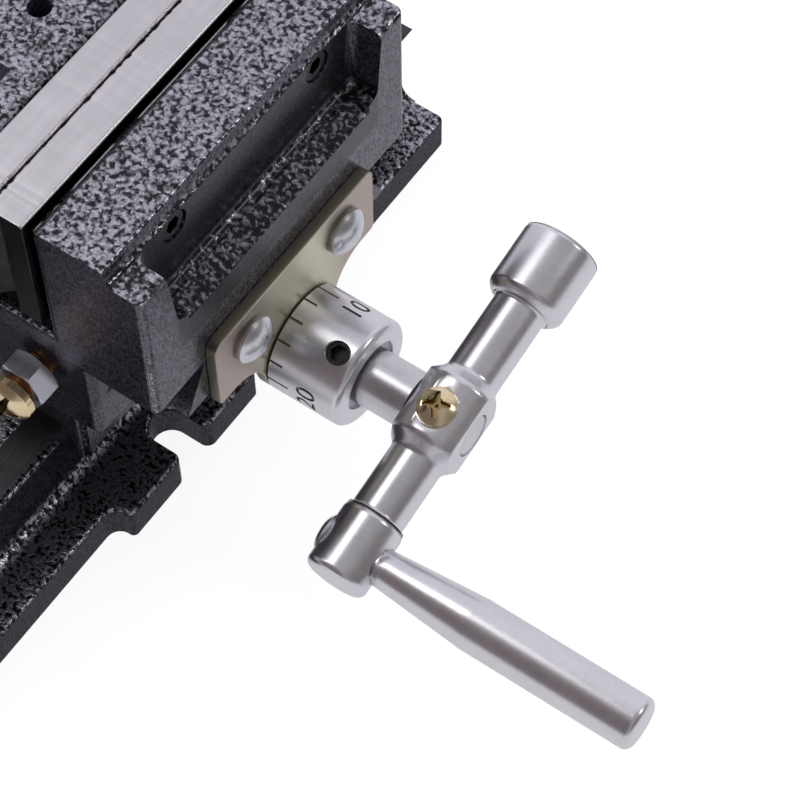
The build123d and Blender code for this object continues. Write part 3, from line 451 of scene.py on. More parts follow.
finishes = {
    # Name, how pale upright faces are, how much painted shade it takes, how strong its gloss at a low angle
    # The saddle and the base are shaded copies of the vise's enamel: duller uprights, painted shade and weaker
    # gloss stand for dimmer light lower down
    "baseCast": hammertone("baseEnamel", 0.50, 0.0, 0.30),
    "saddleCast": hammertone("saddleEnamel", 0.76, 0.6, 0.8),
    "viseCast": hammertone("viseEnamel", 1.0, 0.0, 1.0),
    # Name, the axis it runs along, the one across it, its middle in millimetres
    "crossOlive": passivated("oliveZinc", "Y", "X", 18.0),
    "baseOlive": passivated("oliveZincLow", "X", "Y", 0.0),
    # Name, colour, colour of its marks, their sizes in millimetres, roughness, relief in millimetres
    "blackened": brushed("blackenedSteel", (0.05, 0.048, 0.052, 1), (0.02, 0.02, 0.022, 1),
                         (1.5, 1.5, 4.0), 0.34, 0.02),
    "ground": brushed("groundSteel", (0.65, 0.63, 0.65, 1), (0.57, 0.555, 0.57, 1),
                      (1.2, 26.0, 0.6), 0.36, 0.004),
    "machined": brushed("machinedIron", (0.42, 0.42, 0.43, 1), (0.28, 0.28, 0.29, 1),
                        (0.5, 24.0, 0.5), 0.33, 0.01),
    # Bare iron of the base, darker than the other castings' bare metal
    "darkBare": brushed("darkBareIron", (0.10, 0.10, 0.105, 1), (0.05, 0.05, 0.052, 1),
                     (0.5, 24.0, 0.5), 0.30, 0.01),
    "zinc": brushed("satinZinc", (0.78, 0.775, 0.80, 1), (0.71, 0.705, 0.73, 1),
                    (1.6, 1.6, 1.6), 0.29, 0.0015),
    "shank": brushed("speckledZinc", (0.76, 0.76, 0.78, 1), (0.58, 0.58, 0.60, 1),
                     (0.5, 0.5, 0.5), 0.30, 0.02),
    "nut": brushed("zincNut", (0.60, 0.61, 0.66, 1), (0.50, 0.51, 0.56, 1),
                   (3.0, 3.0, 3.0), 0.24, 0.003),
    "dome": brushed("domeZinc", (0.70, 0.72, 0.75, 1), (0.62, 0.64, 0.67, 1),
                    (3.0, 3.0, 3.0), 0.26, 0.003),
    "yellow": brushed("yellowZinc", (0.88, 0.76, 0.50, 1), (0.78, 0.62, 0.36, 1),
                      (3.0, 3.0, 3.0), 0.20, 0.003),
    # The yellow zinc darkened inside slots, pits and crosses as painted shade
    "recessShade": brushed("shadedRecess", (0.33, 0.235, 0.11, 1), (0.20, 0.135, 0.055, 1),
                      (1.5, 1.5, 1.5), 0.42, 0.004),
    "copper": brushed("copperyThread", (0.72, 0.40, 0.20, 1), (0.46, 0.26, 0.12, 1),
                      (2.0, 2.0, 2.0), 0.26, 0.003),
    "steel": brushed("screwSteel", (0.50, 0.50, 0.51, 1), (0.36, 0.36, 0.37, 1),
                     (2.0, 2.0, 2.0), 0.28, 0.006),
    "oxide": brushed("blackOxide", (0.07, 0.07, 0.075, 1), (0.035, 0.035, 0.038, 1),
                     (2.0, 2.0, 2.0), 0.30, 0.006),
    "mark": brushed("dialMark", (0.30, 0.26, 0.24, 1), (0.20, 0.175, 0.165, 1),
                    (1.0, 1.0, 1.0), 0.45, 0.002),
}
print("finishes made")


# Making and placing pieces
sharpAngle = radians(28)
flatAngle = radians(0.5)
unmoved = Matrix.Identity(4)
# Distances that count as none, in millimetres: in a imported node, in a made shape, along a turned coil,
# beside a cutting plane, and between a coil's cut end and its height
near = {"node": 0.0002, "made": 0.0005, "coil": 0.001, "cut": 0.0001, "rim": 0.01}


def bodyOf(node):
    for body, nodes in frame["record"]["behaviour"]["bodies"].items():
        if node in nodes:
            return body


def slotOf(node):
    for part in frame["record"]["subparts"]:
        if part["node"] == node:
            return part["material_slot"]


def finishPiece(bm, node, looks, matrix=unmoved):
    # A closed mesh at the origin, with its place in its vertices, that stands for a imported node
    name = node + "_look"
    bmesh.ops.transform(bm, matrix=matrix, verts=bm.verts)
    bmesh.ops.remove_doubles(bm, verts=bm.verts, dist=near["made"] * mm)
    bmesh.ops.recalc_face_normals(bm, faces=bm.faces)
    mesh = bpy.data.meshes.new(name)
    bm.to_mesh(mesh)
    bm.free()
    mesh.shade_smooth()
    mesh.set_sharp_from_angle(angle=sharpAngle)
    for look in looks:
        mesh.materials.append(finishes[look])
    piece = bpy.data.objects.new(name, mesh)
    bpy.context.scene.collection.objects.link(piece)
    weigh = piece.modifiers.new("normals", "WEIGHTED_NORMAL")
    weigh.mode, weigh.keep_sharp = "FACE_AREA_WITH_ANGLE", True
    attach(piece, bodyOf(node))
    slotOf(node)
    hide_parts(node)


def nodeMesh(node):
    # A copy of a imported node's triangles, merged
    bm = bmesh.new()
    bm.from_mesh(frame["nodes"][node].data)
    bmesh.ops.remove_doubles(bm, verts=bm.verts, dist=near["node"] * mm)
    return bm


def addTo(bm, other):
    mesh = bpy.data.meshes.new("part")
    other.to_mesh(mesh)
    other.free()
    bm.from_mesh(mesh)
    bpy.data.meshes.remove(mesh)


def giveFinish(bm, number):
    # Every face takes one of the piece's finishes
    for face in bm.faces:
        face.material_index = number


def wholeFaces(bm):
    # The triangles of each flat face joined
    bmesh.ops.dissolve_limit(
        bm, angle_limit=flatAngle, verts=bm.verts, edges=bm.edges, use_dissolve_boundaries=False
    )


def cutAcross(bm, place, way, dist=near["cut"] * mm, clear=False):
    # New edges where a plane passes; where asked, what lies past it goes
    bmesh.ops.bisect_plane(
        bm, geom=bm.verts[:] + bm.edges[:] + bm.faces[:], dist=dist, plane_co=place, plane_no=way,
        clear_outer=clear, clear_inner=False,
    )


def easeEdges(bm, width, chosen=lambda edge: True, segments=2, clamp=True):
    # The sharp edges rounded by a width in metres
    wholeFaces(bm)
    sharp = [e for e in bm.edges if len(e.link_faces) == 2 and e.calc_face_angle(0) > sharpAngle]
    bmesh.ops.bevel(
        bm, geom=[e for e in sharp if chosen(e)], offset=width, offset_type="OFFSET", segments=segments,
        profile=0.5, affect="EDGES", clamp_overlap=clamp, material=-1,
    )


def refined(node, looks, edge=0.0, bare=None, paintFrom=None):
    # The node's own shape with smooth curves, eased edges and, where asked, bare machined faces
    bm = nodeMesh(node)
    if bare:
        wholeFaces(bm)
    if paintFrom:
        for side in (-1, 1):
            cutAcross(bm, (side * paintFrom * mm, 0, 0), (side, 0, 0))
    if edge:
        easeEdges(bm, edge * mm)
    if bare:
        for face in bm.faces:
            if bare(face.calc_center_median() / mm, face.normal):
                face.material_index = 1
    finishPiece(bm, node, looks)


def solidPlaces(node):
    # The middle of each separate solid in a node, in millimetres
    bm = nodeMesh(node)
    left, places = set(bm.verts), []
    while left:
        island, queue = [], [left.pop()]
        while queue:
            vert = queue.pop()
            island.append(vert.co.copy())
            for edge in vert.link_edges:
                other = edge.other_vert(vert)
                if other in left:
                    left.remove(other)
                    queue.append(other)
        low = Vector([min(co[i] for co in island) for i in range(3)])
        high = Vector([max(co[i] for co in island) for i in range(3)])
        places.append((low + high) / 2 / mm)
    bm.free()
    return sorted(places, key=lambda place: (round(place.x), round(place.y)))


def frameAt(place, out):
    # A frame in millimetres whose Z points out, level, and whose Y is up
    out, up = Vector(out).normalized(), Vector((0, 0, 1))
    turn = Matrix((up.cross(out), up, out)).transposed().to_4x4()
    return Matrix.Translation(Vector(place) * mm) @ turn @ Matrix.Scale(mm, 4)


def turned(bm, points, steps, ring=False):
    # An outline of (height, radius) points turned about the local Z axis; a ring's outline is closed
    verts = [bm.verts.new((r, 0, z)) for z, r in points]
    following = verts[1:] + verts[:1] if ring else verts[1:]
    edges = [bm.edges.new(pair) for pair in zip(verts, following)]
    bmesh.ops.spin(
        bm, geom=verts + edges, cent=(0, 0, 0), axis=(0, 0, 1), dvec=(0, 0, 0), angle=2 * pi,
        steps=steps, use_merge=True, use_duplicate=False,
    )
    bmesh.ops.remove_doubles(bm, verts=bm.verts, dist=near["made"])


def lathe(bm, profile, steps=96):
    # A solid from (height, radius) points, flat at both ends
    turned(bm, [(profile[0][0], 0.0)] + profile + [(profile[-1][0], 0.0)], steps)


def thread(bm, size, low, high):
    # A closed rod with a right-hand thread between two heights on the local Z axis
    r, pitch, depth, crest, root = (size[key] for key in ("r", "pitch", "depth", "crest", "root"))
    spare = 3     # turns that the two end cuts take away
    steps, turns = size["steps"], int((high - low) / pitch) + spare
    flank = (1 - crest - root) / 2 * pitch
    heights = [0.0, root * pitch, root * pitch + flank, pitch - flank, pitch]
    radii = [r - depth, r - depth, r, r, r - depth]
    start = low - spare / 2 * pitch
    coil = bmesh.new()
    verts = [coil.verts.new((x, 0, start + z)) for x, z in zip(radii, heights)]
    edges = [coil.edges.new(pair) for pair in zip(verts, verts[1:])]
    bmesh.ops.spin(
        coil, geom=verts + edges, cent=(0, 0, 0), axis=(0, 0, 1), dvec=(0, 0, pitch / steps),
        angle=2 * pi * turns, steps=steps * turns, use_merge=False, use_duplicate=False,
    )
    bmesh.ops.remove_doubles(coil, verts=coil.verts, dist=near["coil"])
    for height, side in ((low, -1), (high, 1)):
        cutAcross(coil, (0, 0, height), (0, 0, side), near["made"], clear=True)
        rim = [e for e in coil.edges if e.is_boundary and abs(e.verts[0].co.z - height) < near["rim"]]
        bmesh.ops.holes_fill(coil, edges=rim, sides=0)
    addTo(bm, coil)


def bar(bm, size, place, turn=0.0, foot=(1.0, 1.0)):
    # A block placed by the middle of its top and turned about Z; its foot is two shares of its sides
    cube = bmesh.ops.create_cube(bm, size=1.0)["verts"]
    bmesh.ops.translate(bm, vec=(0, 0, -0.5), verts=cube)
    bmesh.ops.scale(bm, vec=size, verts=cube)
    low = [v for v in cube if v.co.z < -size[2] / 2]
    bmesh.ops.scale(bm, vec=(foot[0], foot[1], 1), verts=low)
    bmesh.ops.rotate(bm, cent=(0, 0, 0), matrix=Matrix.Rotation(turn, 3, "Z"), verts=cube)
    bmesh.ops.translate(bm, vec=place, verts=cube)
    return cube


def carve(solid, cutters, looks, plain=0):
    # The solid less each cutter; those after the plain ones leave faces of the second finish
    made = []
    for number, bm in enumerate([solid] + cutters):
        bmesh.ops.recalc_face_normals(bm, faces=bm.faces)
        giveFinish(bm, 1 if number > plain else 0)
        mesh = bpy.data.meshes.new("carved")
        bm.to_mesh(mesh)
        bm.free()
        for look in looks:
            mesh.materials.append(finishes[look])
        made.append(bpy.data.objects.new("carved", mesh))
        bpy.context.scene.collection.objects.link(made[-1])
    for cutter in made[1:]:
        cut = made[0].modifiers.new("cut", "BOOLEAN")
        cut.operation, cut.solver, cut.object = "DIFFERENCE", "EXACT", cutter
    cooked = made[0].evaluated_get(bpy.context.evaluated_depsgraph_get())
    mesh = bpy.data.meshes.new_from_object(cooked)
    result = bmesh.new()
    result.from_mesh(mesh)
    for piece in made:
        data = piece.data
        bpy.data.objects.remove(piece)
        bpy.data.meshes.remove(data)
    bpy.data.meshes.remove(mesh)
    return result


# Castings, painted all over but for the faces that are machined
bareFaces = {
    # Heights in millimetres that part the machined faces from the painted ones
    "underside": 0.05, "railWaist": 30.2, "railTop": 41.95,
    "lowerRoof": 42.0, "lowerWay": 42.2,
    "upperFloor": 72.0, "upperWay": (71.8, 86.4),
    "tailFoot": 72.05, "tailWaist": 86.5, "bed": (99.4, 99.6),
    # Places along X: where the paint starts on the tail, and just before the moving jaw's face
    "tailPaint": 76.0, "jawFace": 42.5,
    # Least share of an axis in the normal of a sloped face and of a flat one
    "sloped": 0.3, "flat": 0.9,
}


def bareOnBase(middle, normal):
    # The underside, and the rail's top and sloped sides
    f = bareFaces
    sides = middle.z > f["railWaist"] and normal.z < -f["sloped"]
    return middle.z < f["underside"] or middle.z > f["railTop"] or sides


def bareOnSaddle(middle, normal):
    # The sloped sides and roof of the way below, and the sloped sides and floor of the way above
    f = bareFaces
    roof = middle.z > f["lowerRoof"] and normal.z < -f["flat"]
    below = middle.z < f["lowerWay"] and (normal.z > f["sloped"] or roof)
    low, high = f["upperWay"]
    floor = middle.z < f["upperFloor"] and normal.z > f["flat"]
    above = low < middle.z < high and (normal.z < -f["sloped"] or floor)
    return below or above


def bareOnVise(middle, normal):
    # The dovetail's foot and sloped sides, and the bed
    f = bareFaces
    sides = middle.z < f["tailWaist"] and normal.z > f["sloped"] and abs(middle.x) < f["tailPaint"]
    low, high = f["bed"]
    bed = low < middle.z < high and normal.z > f["flat"]
    return middle.z < f["tailFoot"] or sides or bed


def bareOnJaw(middle, normal):
    # Faces that look down, and the one behind the jaw plate
    f = bareFaces
    return normal.z < -f["flat"] or (normal.x > f["flat"] and middle.x > f["jawFace"])


castings = {
    # node: enamel, bare metal, which faces are bare, where along X the paint starts on the ways
    "base": ("baseCast", "darkBare", bareOnBase, None),
    "saddle": ("saddleCast", "machined", bareOnSaddle, None),
    "vise_body": ("viseCast", "machined", bareOnVise, bareFaces["tailPaint"]),
    "moving_jaw": ("viseCast", "machined", bareOnJaw, None),
}
for node, (paint, metal, bare, paintFrom) in castings.items():
    refined(node, [paint, metal], bare=bare, paintFrom=paintFrom)
print("castings finished")


# Jaw plates: ground, with their upper edges worn ragged where they meet
plates = {
    "edge": 0.30,
    "step": 0.9,              # along the edge from nick to nick, millimetres
    "spread": (0.4, 1.3),     # shares of the step, drawn for each
    "nick": 0.26,             # the deepest, millimetres
    "rare": 3,                # power that leaves few deep ones
    "drop": 0.6,              # how far an edge sinks, as a share of its nick
    "reach": 0.9,             # how far from the corner the wear goes, millimetres
    "top": 0.5,               # least share of up in the normal of the ground top
    "face": 0.9,              # and of X in that of the gripping face
    "seed": 7,
}


def jawPlate(node, gripSide):
    p = plates
    bm = nodeMesh(node)
    easeEdges(bm, p["edge"] * mm)
    low, high = (Vector(corner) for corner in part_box(node))
    draw = random.Random(p["seed"])
    y = low.y
    while y < high.y:
        cutAcross(bm, (0, y, 0), (0, 1, 0))
        y += p["step"] * mm * draw.uniform(*p["spread"])
    grip = high.x if gripSide > 0 else low.x
    reach = p["reach"] * mm
    # The corner's vertices on one cut share its nick
    depths = {}
    for vert in bm.verts:
        if abs(vert.co.x - grip) < reach and vert.co.z > high.z - reach:
            depth = depths.setdefault(round(vert.co.y, 6), p["nick"] * mm * draw.random() ** p["rare"])
            vert.co.x -= gripSide * depth
            vert.co.z -= depth * p["drop"]
    # Only the top and the gripping face are ground
    for face in bm.faces:
        if face.normal.z < p["top"] and face.normal.x * gripSide < p["face"]:
            face.material_index = 1
    finishPiece(bm, node, ["ground", "blackened"])


jawPlate("fixed_jaw_plate", -1)
jawPlate("moving_jaw_plate", 1)
print("jaw plates finished")


# Gibs and keeper, brackets with their dome screws, rings, nuts and small black screws
plainNodes = {
    # node: finish, width of its eased edges in millimetres
    "upper_gib": ("ground", 0.2), "lower_gib": ("ground", 0.2), "jaw_keeper": ("ground", 0.2),
    "cross_screw_bracket": ("crossOlive", 0.5), "base_screw_bracket": ("baseOlive", 0.5),
    "cross_bracket_screws": ("dome", 0), "base_bracket_screws": ("dome", 0),
    "upper_gib_nuts": ("nut", 0.18), "lower_gib_nuts": ("nut", 0.18),
    "cross_dial_set_screw": ("oxide", 0.12), "base_dial_set_screw": ("oxide", 0.12),
    "cross_thrust_ring": ("zinc", 0), "base_thrust_ring": ("zinc", 0),
    "cross_lead_nut": ("machined", 0.3), "base_lead_nut": ("machined", 0.3),
    "cross_nut_bolts": ("oxide", 0.1), "base_nut_bolts": ("oxide", 0.1),
    "keeper_bolts": ("oxide", 0.1), "fixed_jaw_screws": ("oxide", 0.1),
    "moving_jaw_screws": ("oxide", 0.1), "vise_screw_pin": ("oxide", 0.1),
}
for node, (look, edge) in plainNodes.items():
    refined(node, [look], edge)
print("gibs, brackets, rings, nuts and black screws finished")


# Pan heads with a slot and a cross; sizes are shares of the head's radius and height
panHead = {
    "rim": 0.35, "domeSteps": 13, "crown": 0.02,
    "over": 0.1,                 # how far the pit and the wings stand over the head
    "slotLong": 2.4, "slotWide": 0.27, "slotDeep": 0.26,
    "slotOver": 0.6,             # how far its cutter stands over the head, as a share of its depth
    "wings": 4, "wingLong": 0.74, "wingWide": 0.52, "wingTip": 0.42, "wingDeep": 0.62,
    "wingBehind": 0.1,           # share of its length that reaches behind the middle
    "wingFoot": (0.85, 0.75),
    "pitR": 0.44, "pitDeep": 0.78,
    "pitPoint": 0.1,             # radius at its foot, millimetres
    "pitSteps": 32,
}
smallSteps = 48                  # round a small screw's shank


def headProfile(r, height):
    # From the seat over the rim and the dome
    p = panHead
    rise = height * (1 - p["rim"])
    dome = (r * r + rise * rise) / (2 * rise)
    points = [(0.0, r), (height * p["rim"], r)]
    for n in range(1, p["domeSteps"]):
        out = r * (1 - n / p["domeSteps"])
        points.append((height - dome + (dome * dome - out * out) ** 0.5, out))
    return points + [(height, r * p["crown"])]


def crossWing(r, height, turn):
    # One wing of the cross, from just behind the middle out to a narrower tip
    p = panHead
    long, deep = p["wingLong"] * r, (p["wingDeep"] + p["over"]) * height
    middle = (long * (1 - p["wingBehind"]) / 2, 0, height * (1 + p["over"]))
    wing = bmesh.new()
    bar(wing, (long * (1 + p["wingBehind"]), p["wingWide"] * r, deep), middle, foot=p["wingFoot"])
    tip = [v for v in wing.verts if v.co.x > long / 2]
    bmesh.ops.scale(wing, vec=(1, p["wingTip"], 1), verts=tip)
    bmesh.ops.rotate(wing, cent=(0, 0, 0), matrix=Matrix.Rotation(turn, 3, "Z"), verts=wing.verts)
    return wing


def panHeadMesh(r, height, turn):
    p = panHead
    head, slot, pit = bmesh.new(), bmesh.new(), bmesh.new()
    lathe(head, headProfile(r, height))
    bar(slot, (p["slotLong"] * r, p["slotWide"] * r, 2 * p["slotDeep"] * height),
        (0, 0, height * (1 + p["slotDeep"] * p["slotOver"])), turn)
    foot, top = height * (1 - p["pitDeep"]), height * (1 + p["over"])
    lathe(pit, [(foot, p["pitPoint"]), (top, p["pitR"] * r)], p["pitSteps"])
    wings = [crossWing(r, height, turn + number * 2 * pi / p["wings"]) for number in range(p["wings"])]
    # The cut faces of the slot, pit and cross take the painted shade
    return carve(head, [slot, pit] + wings, ["yellow", "recessShade"], plain=1)


# Gib screws: coppery thread through the wall, yellow head, point in the gib
gibScrew = {
    "r": 4.0, "pitch": 1.25, "depth": 0.72, "crest": 0.14, "root": 0.20, "steps": 32,
    "headR": 6.5, "headHigh": 5.0, "slotTurn": radians(-23),
    "pointR": 2.5, "pointLong": 3.6, "pointEdge": 0.3,
    "lap": 0.1,                  # how far the thread runs into the head
    "pointLap": 0.2,             # and the point into the thread
}


def gibScrews(node, out):
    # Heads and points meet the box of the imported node
    s = gibScrew
    low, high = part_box(node)
    axis = 1 if out[1] else 0
    top, tip = -low[axis] / mm, -high[axis] / mm
    seat = top - s["headHigh"]
    bm = bmesh.new()
    for place in solidPlaces(node):
        place[axis] = 0.0
        part = bmesh.new()
        addTo(part, panHeadMesh(s["headR"], s["headHigh"], s["slotTurn"]))
        bmesh.ops.translate(part, vec=(0, 0, seat), verts=part.verts)
        coil = bmesh.new()
        thread(coil, s, tip + s["pointLong"], seat + s["lap"])
        giveFinish(coil, 2)
        addTo(part, coil)
        lathe(part, [(tip, s["pointR"] - s["pointEdge"]), (tip + s["pointEdge"], s["pointR"]),
                     (tip + s["pointLong"] + s["pointLap"], s["pointR"])], smallSteps)
        bmesh.ops.transform(part, matrix=frameAt(place, out), verts=part.verts)
        addTo(bm, part)
    finishPiece(bm, node, ["yellow", "recessShade", "copper"])


gibScrews("upper_gib_screws", (0, -1, 0))
gibScrews("lower_gib_screws", (-1, 0, 0))
print("gib screws made")


# The three screws' stations: Z runs out along the screw from the casting's face
crankTurns = {name: joints[name + "_crank_turn"] for name in ("cross", "base", "vise")}
stations = {name: frameAt(Vector(turn["pos_m"]) / mm, turn["axis"]) for name, turn in crankTurns.items()}
cranks = {
    # name: where its arm crosses the screw, and its turn in degrees
    "cross": (45.8, 12.6), "base": (45.8, 12.0), "vise": (24.0, -12.0),
}
crankScrew = {
    "at": -1.0, "seat": 9.7, "long": 13.0, "r": 2.5, "edge": 0.4, "lap": 0.1,
    "headR": 5.0, "headHigh": 3.2, "slotTurn": radians(-67),
}
crankArm = {
    "neckR": 6.9, "soft": 0.9, "softSteps": 3, "flat": 7.9, "flatSoft": 0.3, "hubLong": 13.0,
    # Holes that stay sharp: the bore and the grip's seat, as where along the arm and radius
    "holes": ((0.0, 6.5), (-38.9, 6.4)),
    "seatR": 5.8,                # the small screw's seat, sharp too
}


def softenArm(bm, hub):
    # Shoulders rounded wide, the hub's two flats less, because little is left beside the bore
    a = crankArm
    back = hub.inverted()

    def onFlat(edge):
        ends = [back @ vert.co for vert in edge.verts]
        return all(abs(p.z) > a["flat"] and abs(p.x) < a["hubLong"] for p in ends)

    def outside(edge):
        ends = [back @ vert.co for vert in edge.verts]
        offHoles = all(hypot(p.x - at, p.y) > r for at, r in a["holes"] for p in ends)
        offSeat = all(hypot(p.x - crankScrew["at"], p.z) > a["seatR"] for p in ends)
        return offHoles and offSeat and all(hypot(p.y, p.z) > a["neckR"] for p in ends)

    for width, chosen in (
        (a["soft"], lambda edge: outside(edge) and not onFlat(edge)),
        (a["flatSoft"], lambda edge: outside(edge) and onFlat(edge)),
    ):
        easeEdges(bm, width * mm, chosen, a["softSteps"], clamp=False)


def makeCrank(name):
    plane, angle = cranks[name]
    hub = stations[name] @ Matrix.Translation((0, 0, plane)) @ Matrix.Rotation(radians(angle), 4, "Z")
    arm = nodeMesh(name + "_crank_arm")
    softenArm(arm, hub)
    finishPiece(arm, name + "_crank_arm", ["zinc"])
    refined(name + "_crank_grip", ["zinc"])
    s = crankScrew
    long, r, edge = s["long"], s["r"], s["edge"]
    screw = bmesh.new()
    addTo(screw, panHeadMesh(s["headR"], s["headHigh"], s["slotTurn"]))
    lathe(screw, [(-long, r - edge), (-long + edge, r), (s["lap"], r)], smallSteps)
    seat = Matrix.Translation((s["at"], s["seat"], 0)) @ Matrix.Rotation(-pi / 2, 4, "X")
    finishPiece(screw, name + "_crank_screw", ["yellow", "recessShade"], hub @ seat)


for name in cranks:
    makeCrank(name)
print("cranks made")


# Lead screws and the vise screw: threads, journals and smooth shanks
leadThread = {"r": 6.0, "pitch": 3.0, "depth": 1.5, "crest": 0.36, "root": 0.36, "steps": 40}
viseThread = {"r": 7.0, "pitch": 3.0, "depth": 1.5, "crest": 0.36, "root": 0.36, "steps": 40}
leadScrew = {
    "tipR": 5.0, "tipLong": 1.0, "tipEnd": 3.0, "threadEnd": -6.0,
    "lap": 0.5,                  # how far the thread overlaps the tip and the journal
    "journalR": 5.98, "shoulder": 22.0, "shoulderEdge": 0.3, "shankR": 7.5, "shankEnd": 37.4,
    "endR": 5.75, "endEdge": 0.6, "end": 54.0,
}
viseScrew = {
    "nose": 6.0, "noseLong": 18.0, "noseEdge": 1.0,
    "grooveAt": 9.5, "grooveHalf": 2.1, "grooveDeep": 1.5,
    "plainTo": 14.0, "plainEdge": 0.5,
    "runOut": 1.2, "runDeep": 1.4,          # how the plain stretch sinks into the thread
    "threadTo": 13.0, "runIn": (1.0, 0.4),  # the shank rises from before its end to past it
    "shankEnd": 15.6, "endR": 5.75, "endEdge": 0.6, "end": 32.2,
}


def shankEnds(s, shankR):
    # The outline's last points: down from the shank to the end that the crank's hub holds
    return [(s["shankEnd"], shankR), (s["shankEnd"], s["endR"]), (s["end"] - s["endEdge"], s["endR"]),
            (s["end"], s["endR"] - s["endEdge"])]


def makeLeadScrew(name):
    node = name + "_lead_screw"
    low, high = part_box(node)
    s = leadScrew
    length = max(b - a for a, b in zip(low, high)) / mm - s["end"]
    bm = bmesh.new()
    lathe(bm, [(-length, s["tipR"]), (-length + s["tipLong"], s["journalR"]),
               (-length + s["tipEnd"], s["journalR"])])
    thread(bm, leadThread, -length + s["tipEnd"] - s["lap"], s["threadEnd"])
    plain = bmesh.new()
    lathe(plain, [(s["threadEnd"] - s["lap"], s["journalR"]), (s["shoulder"], s["journalR"]),
                  (s["shoulder"], s["shankR"] - s["shoulderEdge"]),
                  (s["shoulder"] + s["shoulderEdge"], s["shankR"])] + shankEnds(s, s["shankR"]))
    giveFinish(plain, 1)
    addTo(bm, plain)
    finishPiece(bm, node, ["steel", "shank"], stations[name])


def makeViseScrew():
    node = "vise_screw"
    low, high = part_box(node)
    s, r = viseScrew, viseThread["r"]
    length = (high[0] - low[0]) / mm - s["end"]
    inner, groove = s["noseLong"] - length, s["grooveAt"] - length
    waist = s["nose"] - s["grooveDeep"]
    bm = bmesh.new()
    lathe(bm, [(-length, s["nose"] - s["noseEdge"]), (-length + s["noseEdge"], s["nose"]),
               (groove - s["grooveHalf"], s["nose"]), (groove - s["grooveHalf"], waist),
               (groove + s["grooveHalf"], waist), (groove + s["grooveHalf"], s["nose"]),
               (inner, s["nose"]), (inner, r - s["plainEdge"]), (inner + s["plainEdge"], r),
               (inner + s["plainTo"], r), (inner + s["plainTo"] + s["runOut"], r - s["runDeep"])])
    giveFinish(bm, 1)
    thread(bm, viseThread, inner + s["plainTo"] + s["runOut"] / 2, s["threadTo"])
    before, after = s["runIn"]
    rise = [(s["threadTo"] - before, r - s["runDeep"]), (s["threadTo"] + after, r)]
    plain = bmesh.new()
    lathe(plain, rise + shankEnds(s, r))
    giveFinish(plain, 1)
    addTo(bm, plain)
    finishPiece(bm, node, ["steel", "shank"], stations["vise"])


makeLeadScrew("cross")
makeLeadScrew("base")
makeViseScrew()
print("screws made")


# Dials, engraved with fifteen ticks and plain numbers
dial = {
    "r": 14.5, "start": 3.5, "end": 24.5, "chamfer": 0.4, "edge": 2.0, "edgeSteps": 6, "steps": 256,
    "recessR": 9.4, "recessDeep": 2.5, "recessEdge": 0.35, "bore": 6.02,
    "ticks": 15, "firstTick": 59.5, "longEvery": 5, "longEnd": 9.9, "shortEnd": 7.6,
    "tickStart": 0.1, "tickWide": 1.0, "tickFoot": (0.35, 0.96), "deep": 0.32,
    "numbers": (("10", 59.5), ("20", 179.5), ("0", -60.5)), "numberAt": 15.3, "numberHigh": 5.7,
    "fontSize": 1.38,                        # the font's size over its numbers' height
    "bold": 0.05, "numberSteps": 4,
    "screwAt": 18.9, "screwTurn": 114.0, "screwR": 3.02, "screwRim": 0.35,
    "screwUnder": 2.0, "screwOver": 3.0,     # how far its cutter goes past the wall
}


def dialBlank():
    d = dial
    profile = [(d["start"], d["bore"]), (d["start"], d["r"] - d["chamfer"]),
               (d["start"] + d["chamfer"], d["r"])]
    edge = d["edge"]
    for n in range(d["edgeSteps"] + 1):
        angle = radians(90 * n / d["edgeSteps"])
        profile.append((d["end"] - edge + edge * sin(angle), d["r"] - edge + edge * cos(angle)))
    floor = d["end"] - d["recessDeep"]
    profile += [(d["end"], d["recessR"] + d["recessEdge"]), (d["end"] - d["recessEdge"], d["recessR"]),
                (floor, d["recessR"]), (floor, d["bore"])]
    bm = bmesh.new()
    turned(bm, profile, d["steps"], ring=True)
    return bm


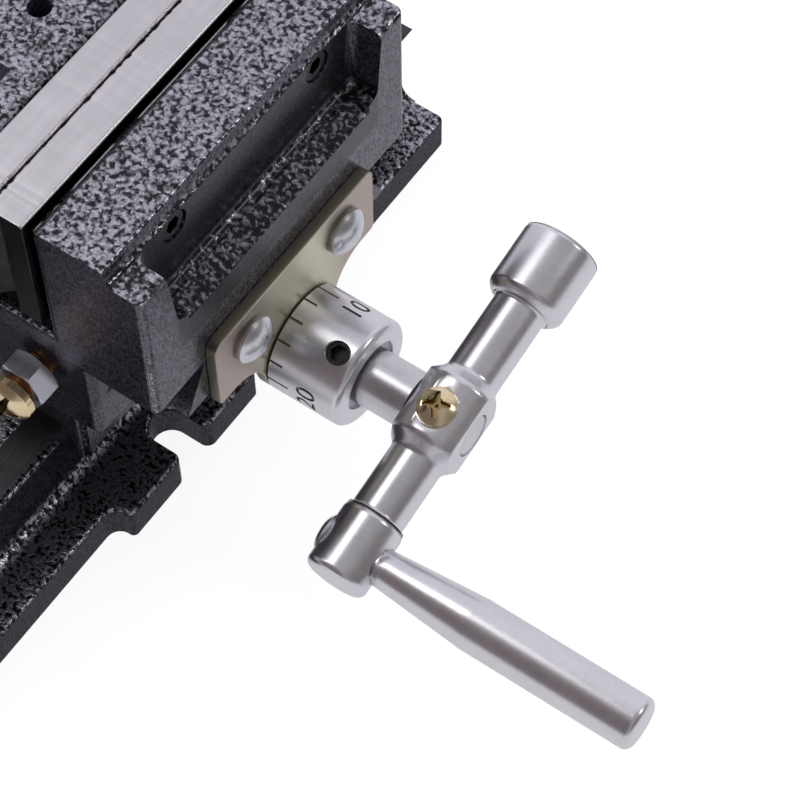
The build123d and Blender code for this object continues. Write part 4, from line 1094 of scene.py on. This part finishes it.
def tickCutters():
    d = dial
    bm = bmesh.new()
    # Z out of the collar and Y along it
    stand = Matrix(((0, 0, 1, d["r"]), (1, 0, 0, 0), (0, 1, 0, 0), (0, 0, 0, 1)))
    for number in range(d["ticks"]):
        start = d["start"] + d["tickStart"]
        end = d["longEnd"] if number % d["longEvery"] == 0 else d["shortEnd"]
        cube = bar(bm, (d["tickWide"], end - start, 2 * d["deep"]), (0, (start + end) / 2, d["deep"]),
                   foot=d["tickFoot"])
        turn = Matrix.Rotation(radians(d["firstTick"] + number * 360 / d["ticks"]), 4, "Z")
        bmesh.ops.transform(bm, matrix=turn @ stand, verts=cube)
    return bm


def numberCutters():
    d = dial
    bm = bmesh.new()
    for text, turn in d["numbers"]:
        curve = bpy.data.curves.new("number", "FONT")
        curve.body, curve.size = text, d["numberHigh"] * d["fontSize"]
        curve.align_x, curve.align_y = "CENTER", "CENTER"
        curve.extrude, curve.offset = d["deep"], d["bold"]
        curve.resolution_u = d["numberSteps"]
        written = bpy.data.objects.new("number", curve)
        bpy.context.scene.collection.objects.link(written)
        bpy.context.view_layer.update()
        cooked = written.evaluated_get(bpy.context.evaluated_depsgraph_get())
        mesh = bpy.data.meshes.new_from_object(cooked)
        part = bmesh.new()
        part.from_mesh(mesh)
        bmesh.ops.remove_doubles(part, verts=part.verts, dist=near["made"])
        # Wrapped round the collar
        for vert in part.verts:
            x, y, z = vert.co
            angle = radians(turn) - x / d["r"]
            vert.co = ((d["r"] + z) * cos(angle), (d["r"] + z) * sin(angle), d["numberAt"] - y)
        addTo(bm, part)
        bpy.data.objects.remove(written)
        bpy.data.curves.remove(curve)
        bpy.data.meshes.remove(mesh)
    return bm


def setScrewCutter():
    d = dial
    wide = d["screwR"] + 2 * d["screwRim"]
    bm = bmesh.new()
    lathe(bm, [(d["bore"] - d["screwUnder"], d["screwR"]), (d["r"] - d["screwRim"], d["screwR"]),
               (d["r"] + d["screwRim"], wide), (d["r"] + d["screwOver"], wide)])
    stand = Matrix.Translation((0, 0, d["screwAt"])) @ Matrix.Rotation(radians(d["screwTurn"]), 4, "Z")
    bmesh.ops.transform(bm, matrix=stand @ Matrix.Rotation(pi / 2, 4, "Y"), verts=bm.verts)
    return bm


dialLooks = ["zinc", "mark"]
for name in ("cross", "base"):
    bm = carve(dialBlank(), [tickCutters(), numberCutters(), setScrewCutter()], dialLooks)
    finishPiece(bm, name + "_dial", dialLooks, stations[name])
print("dials made")
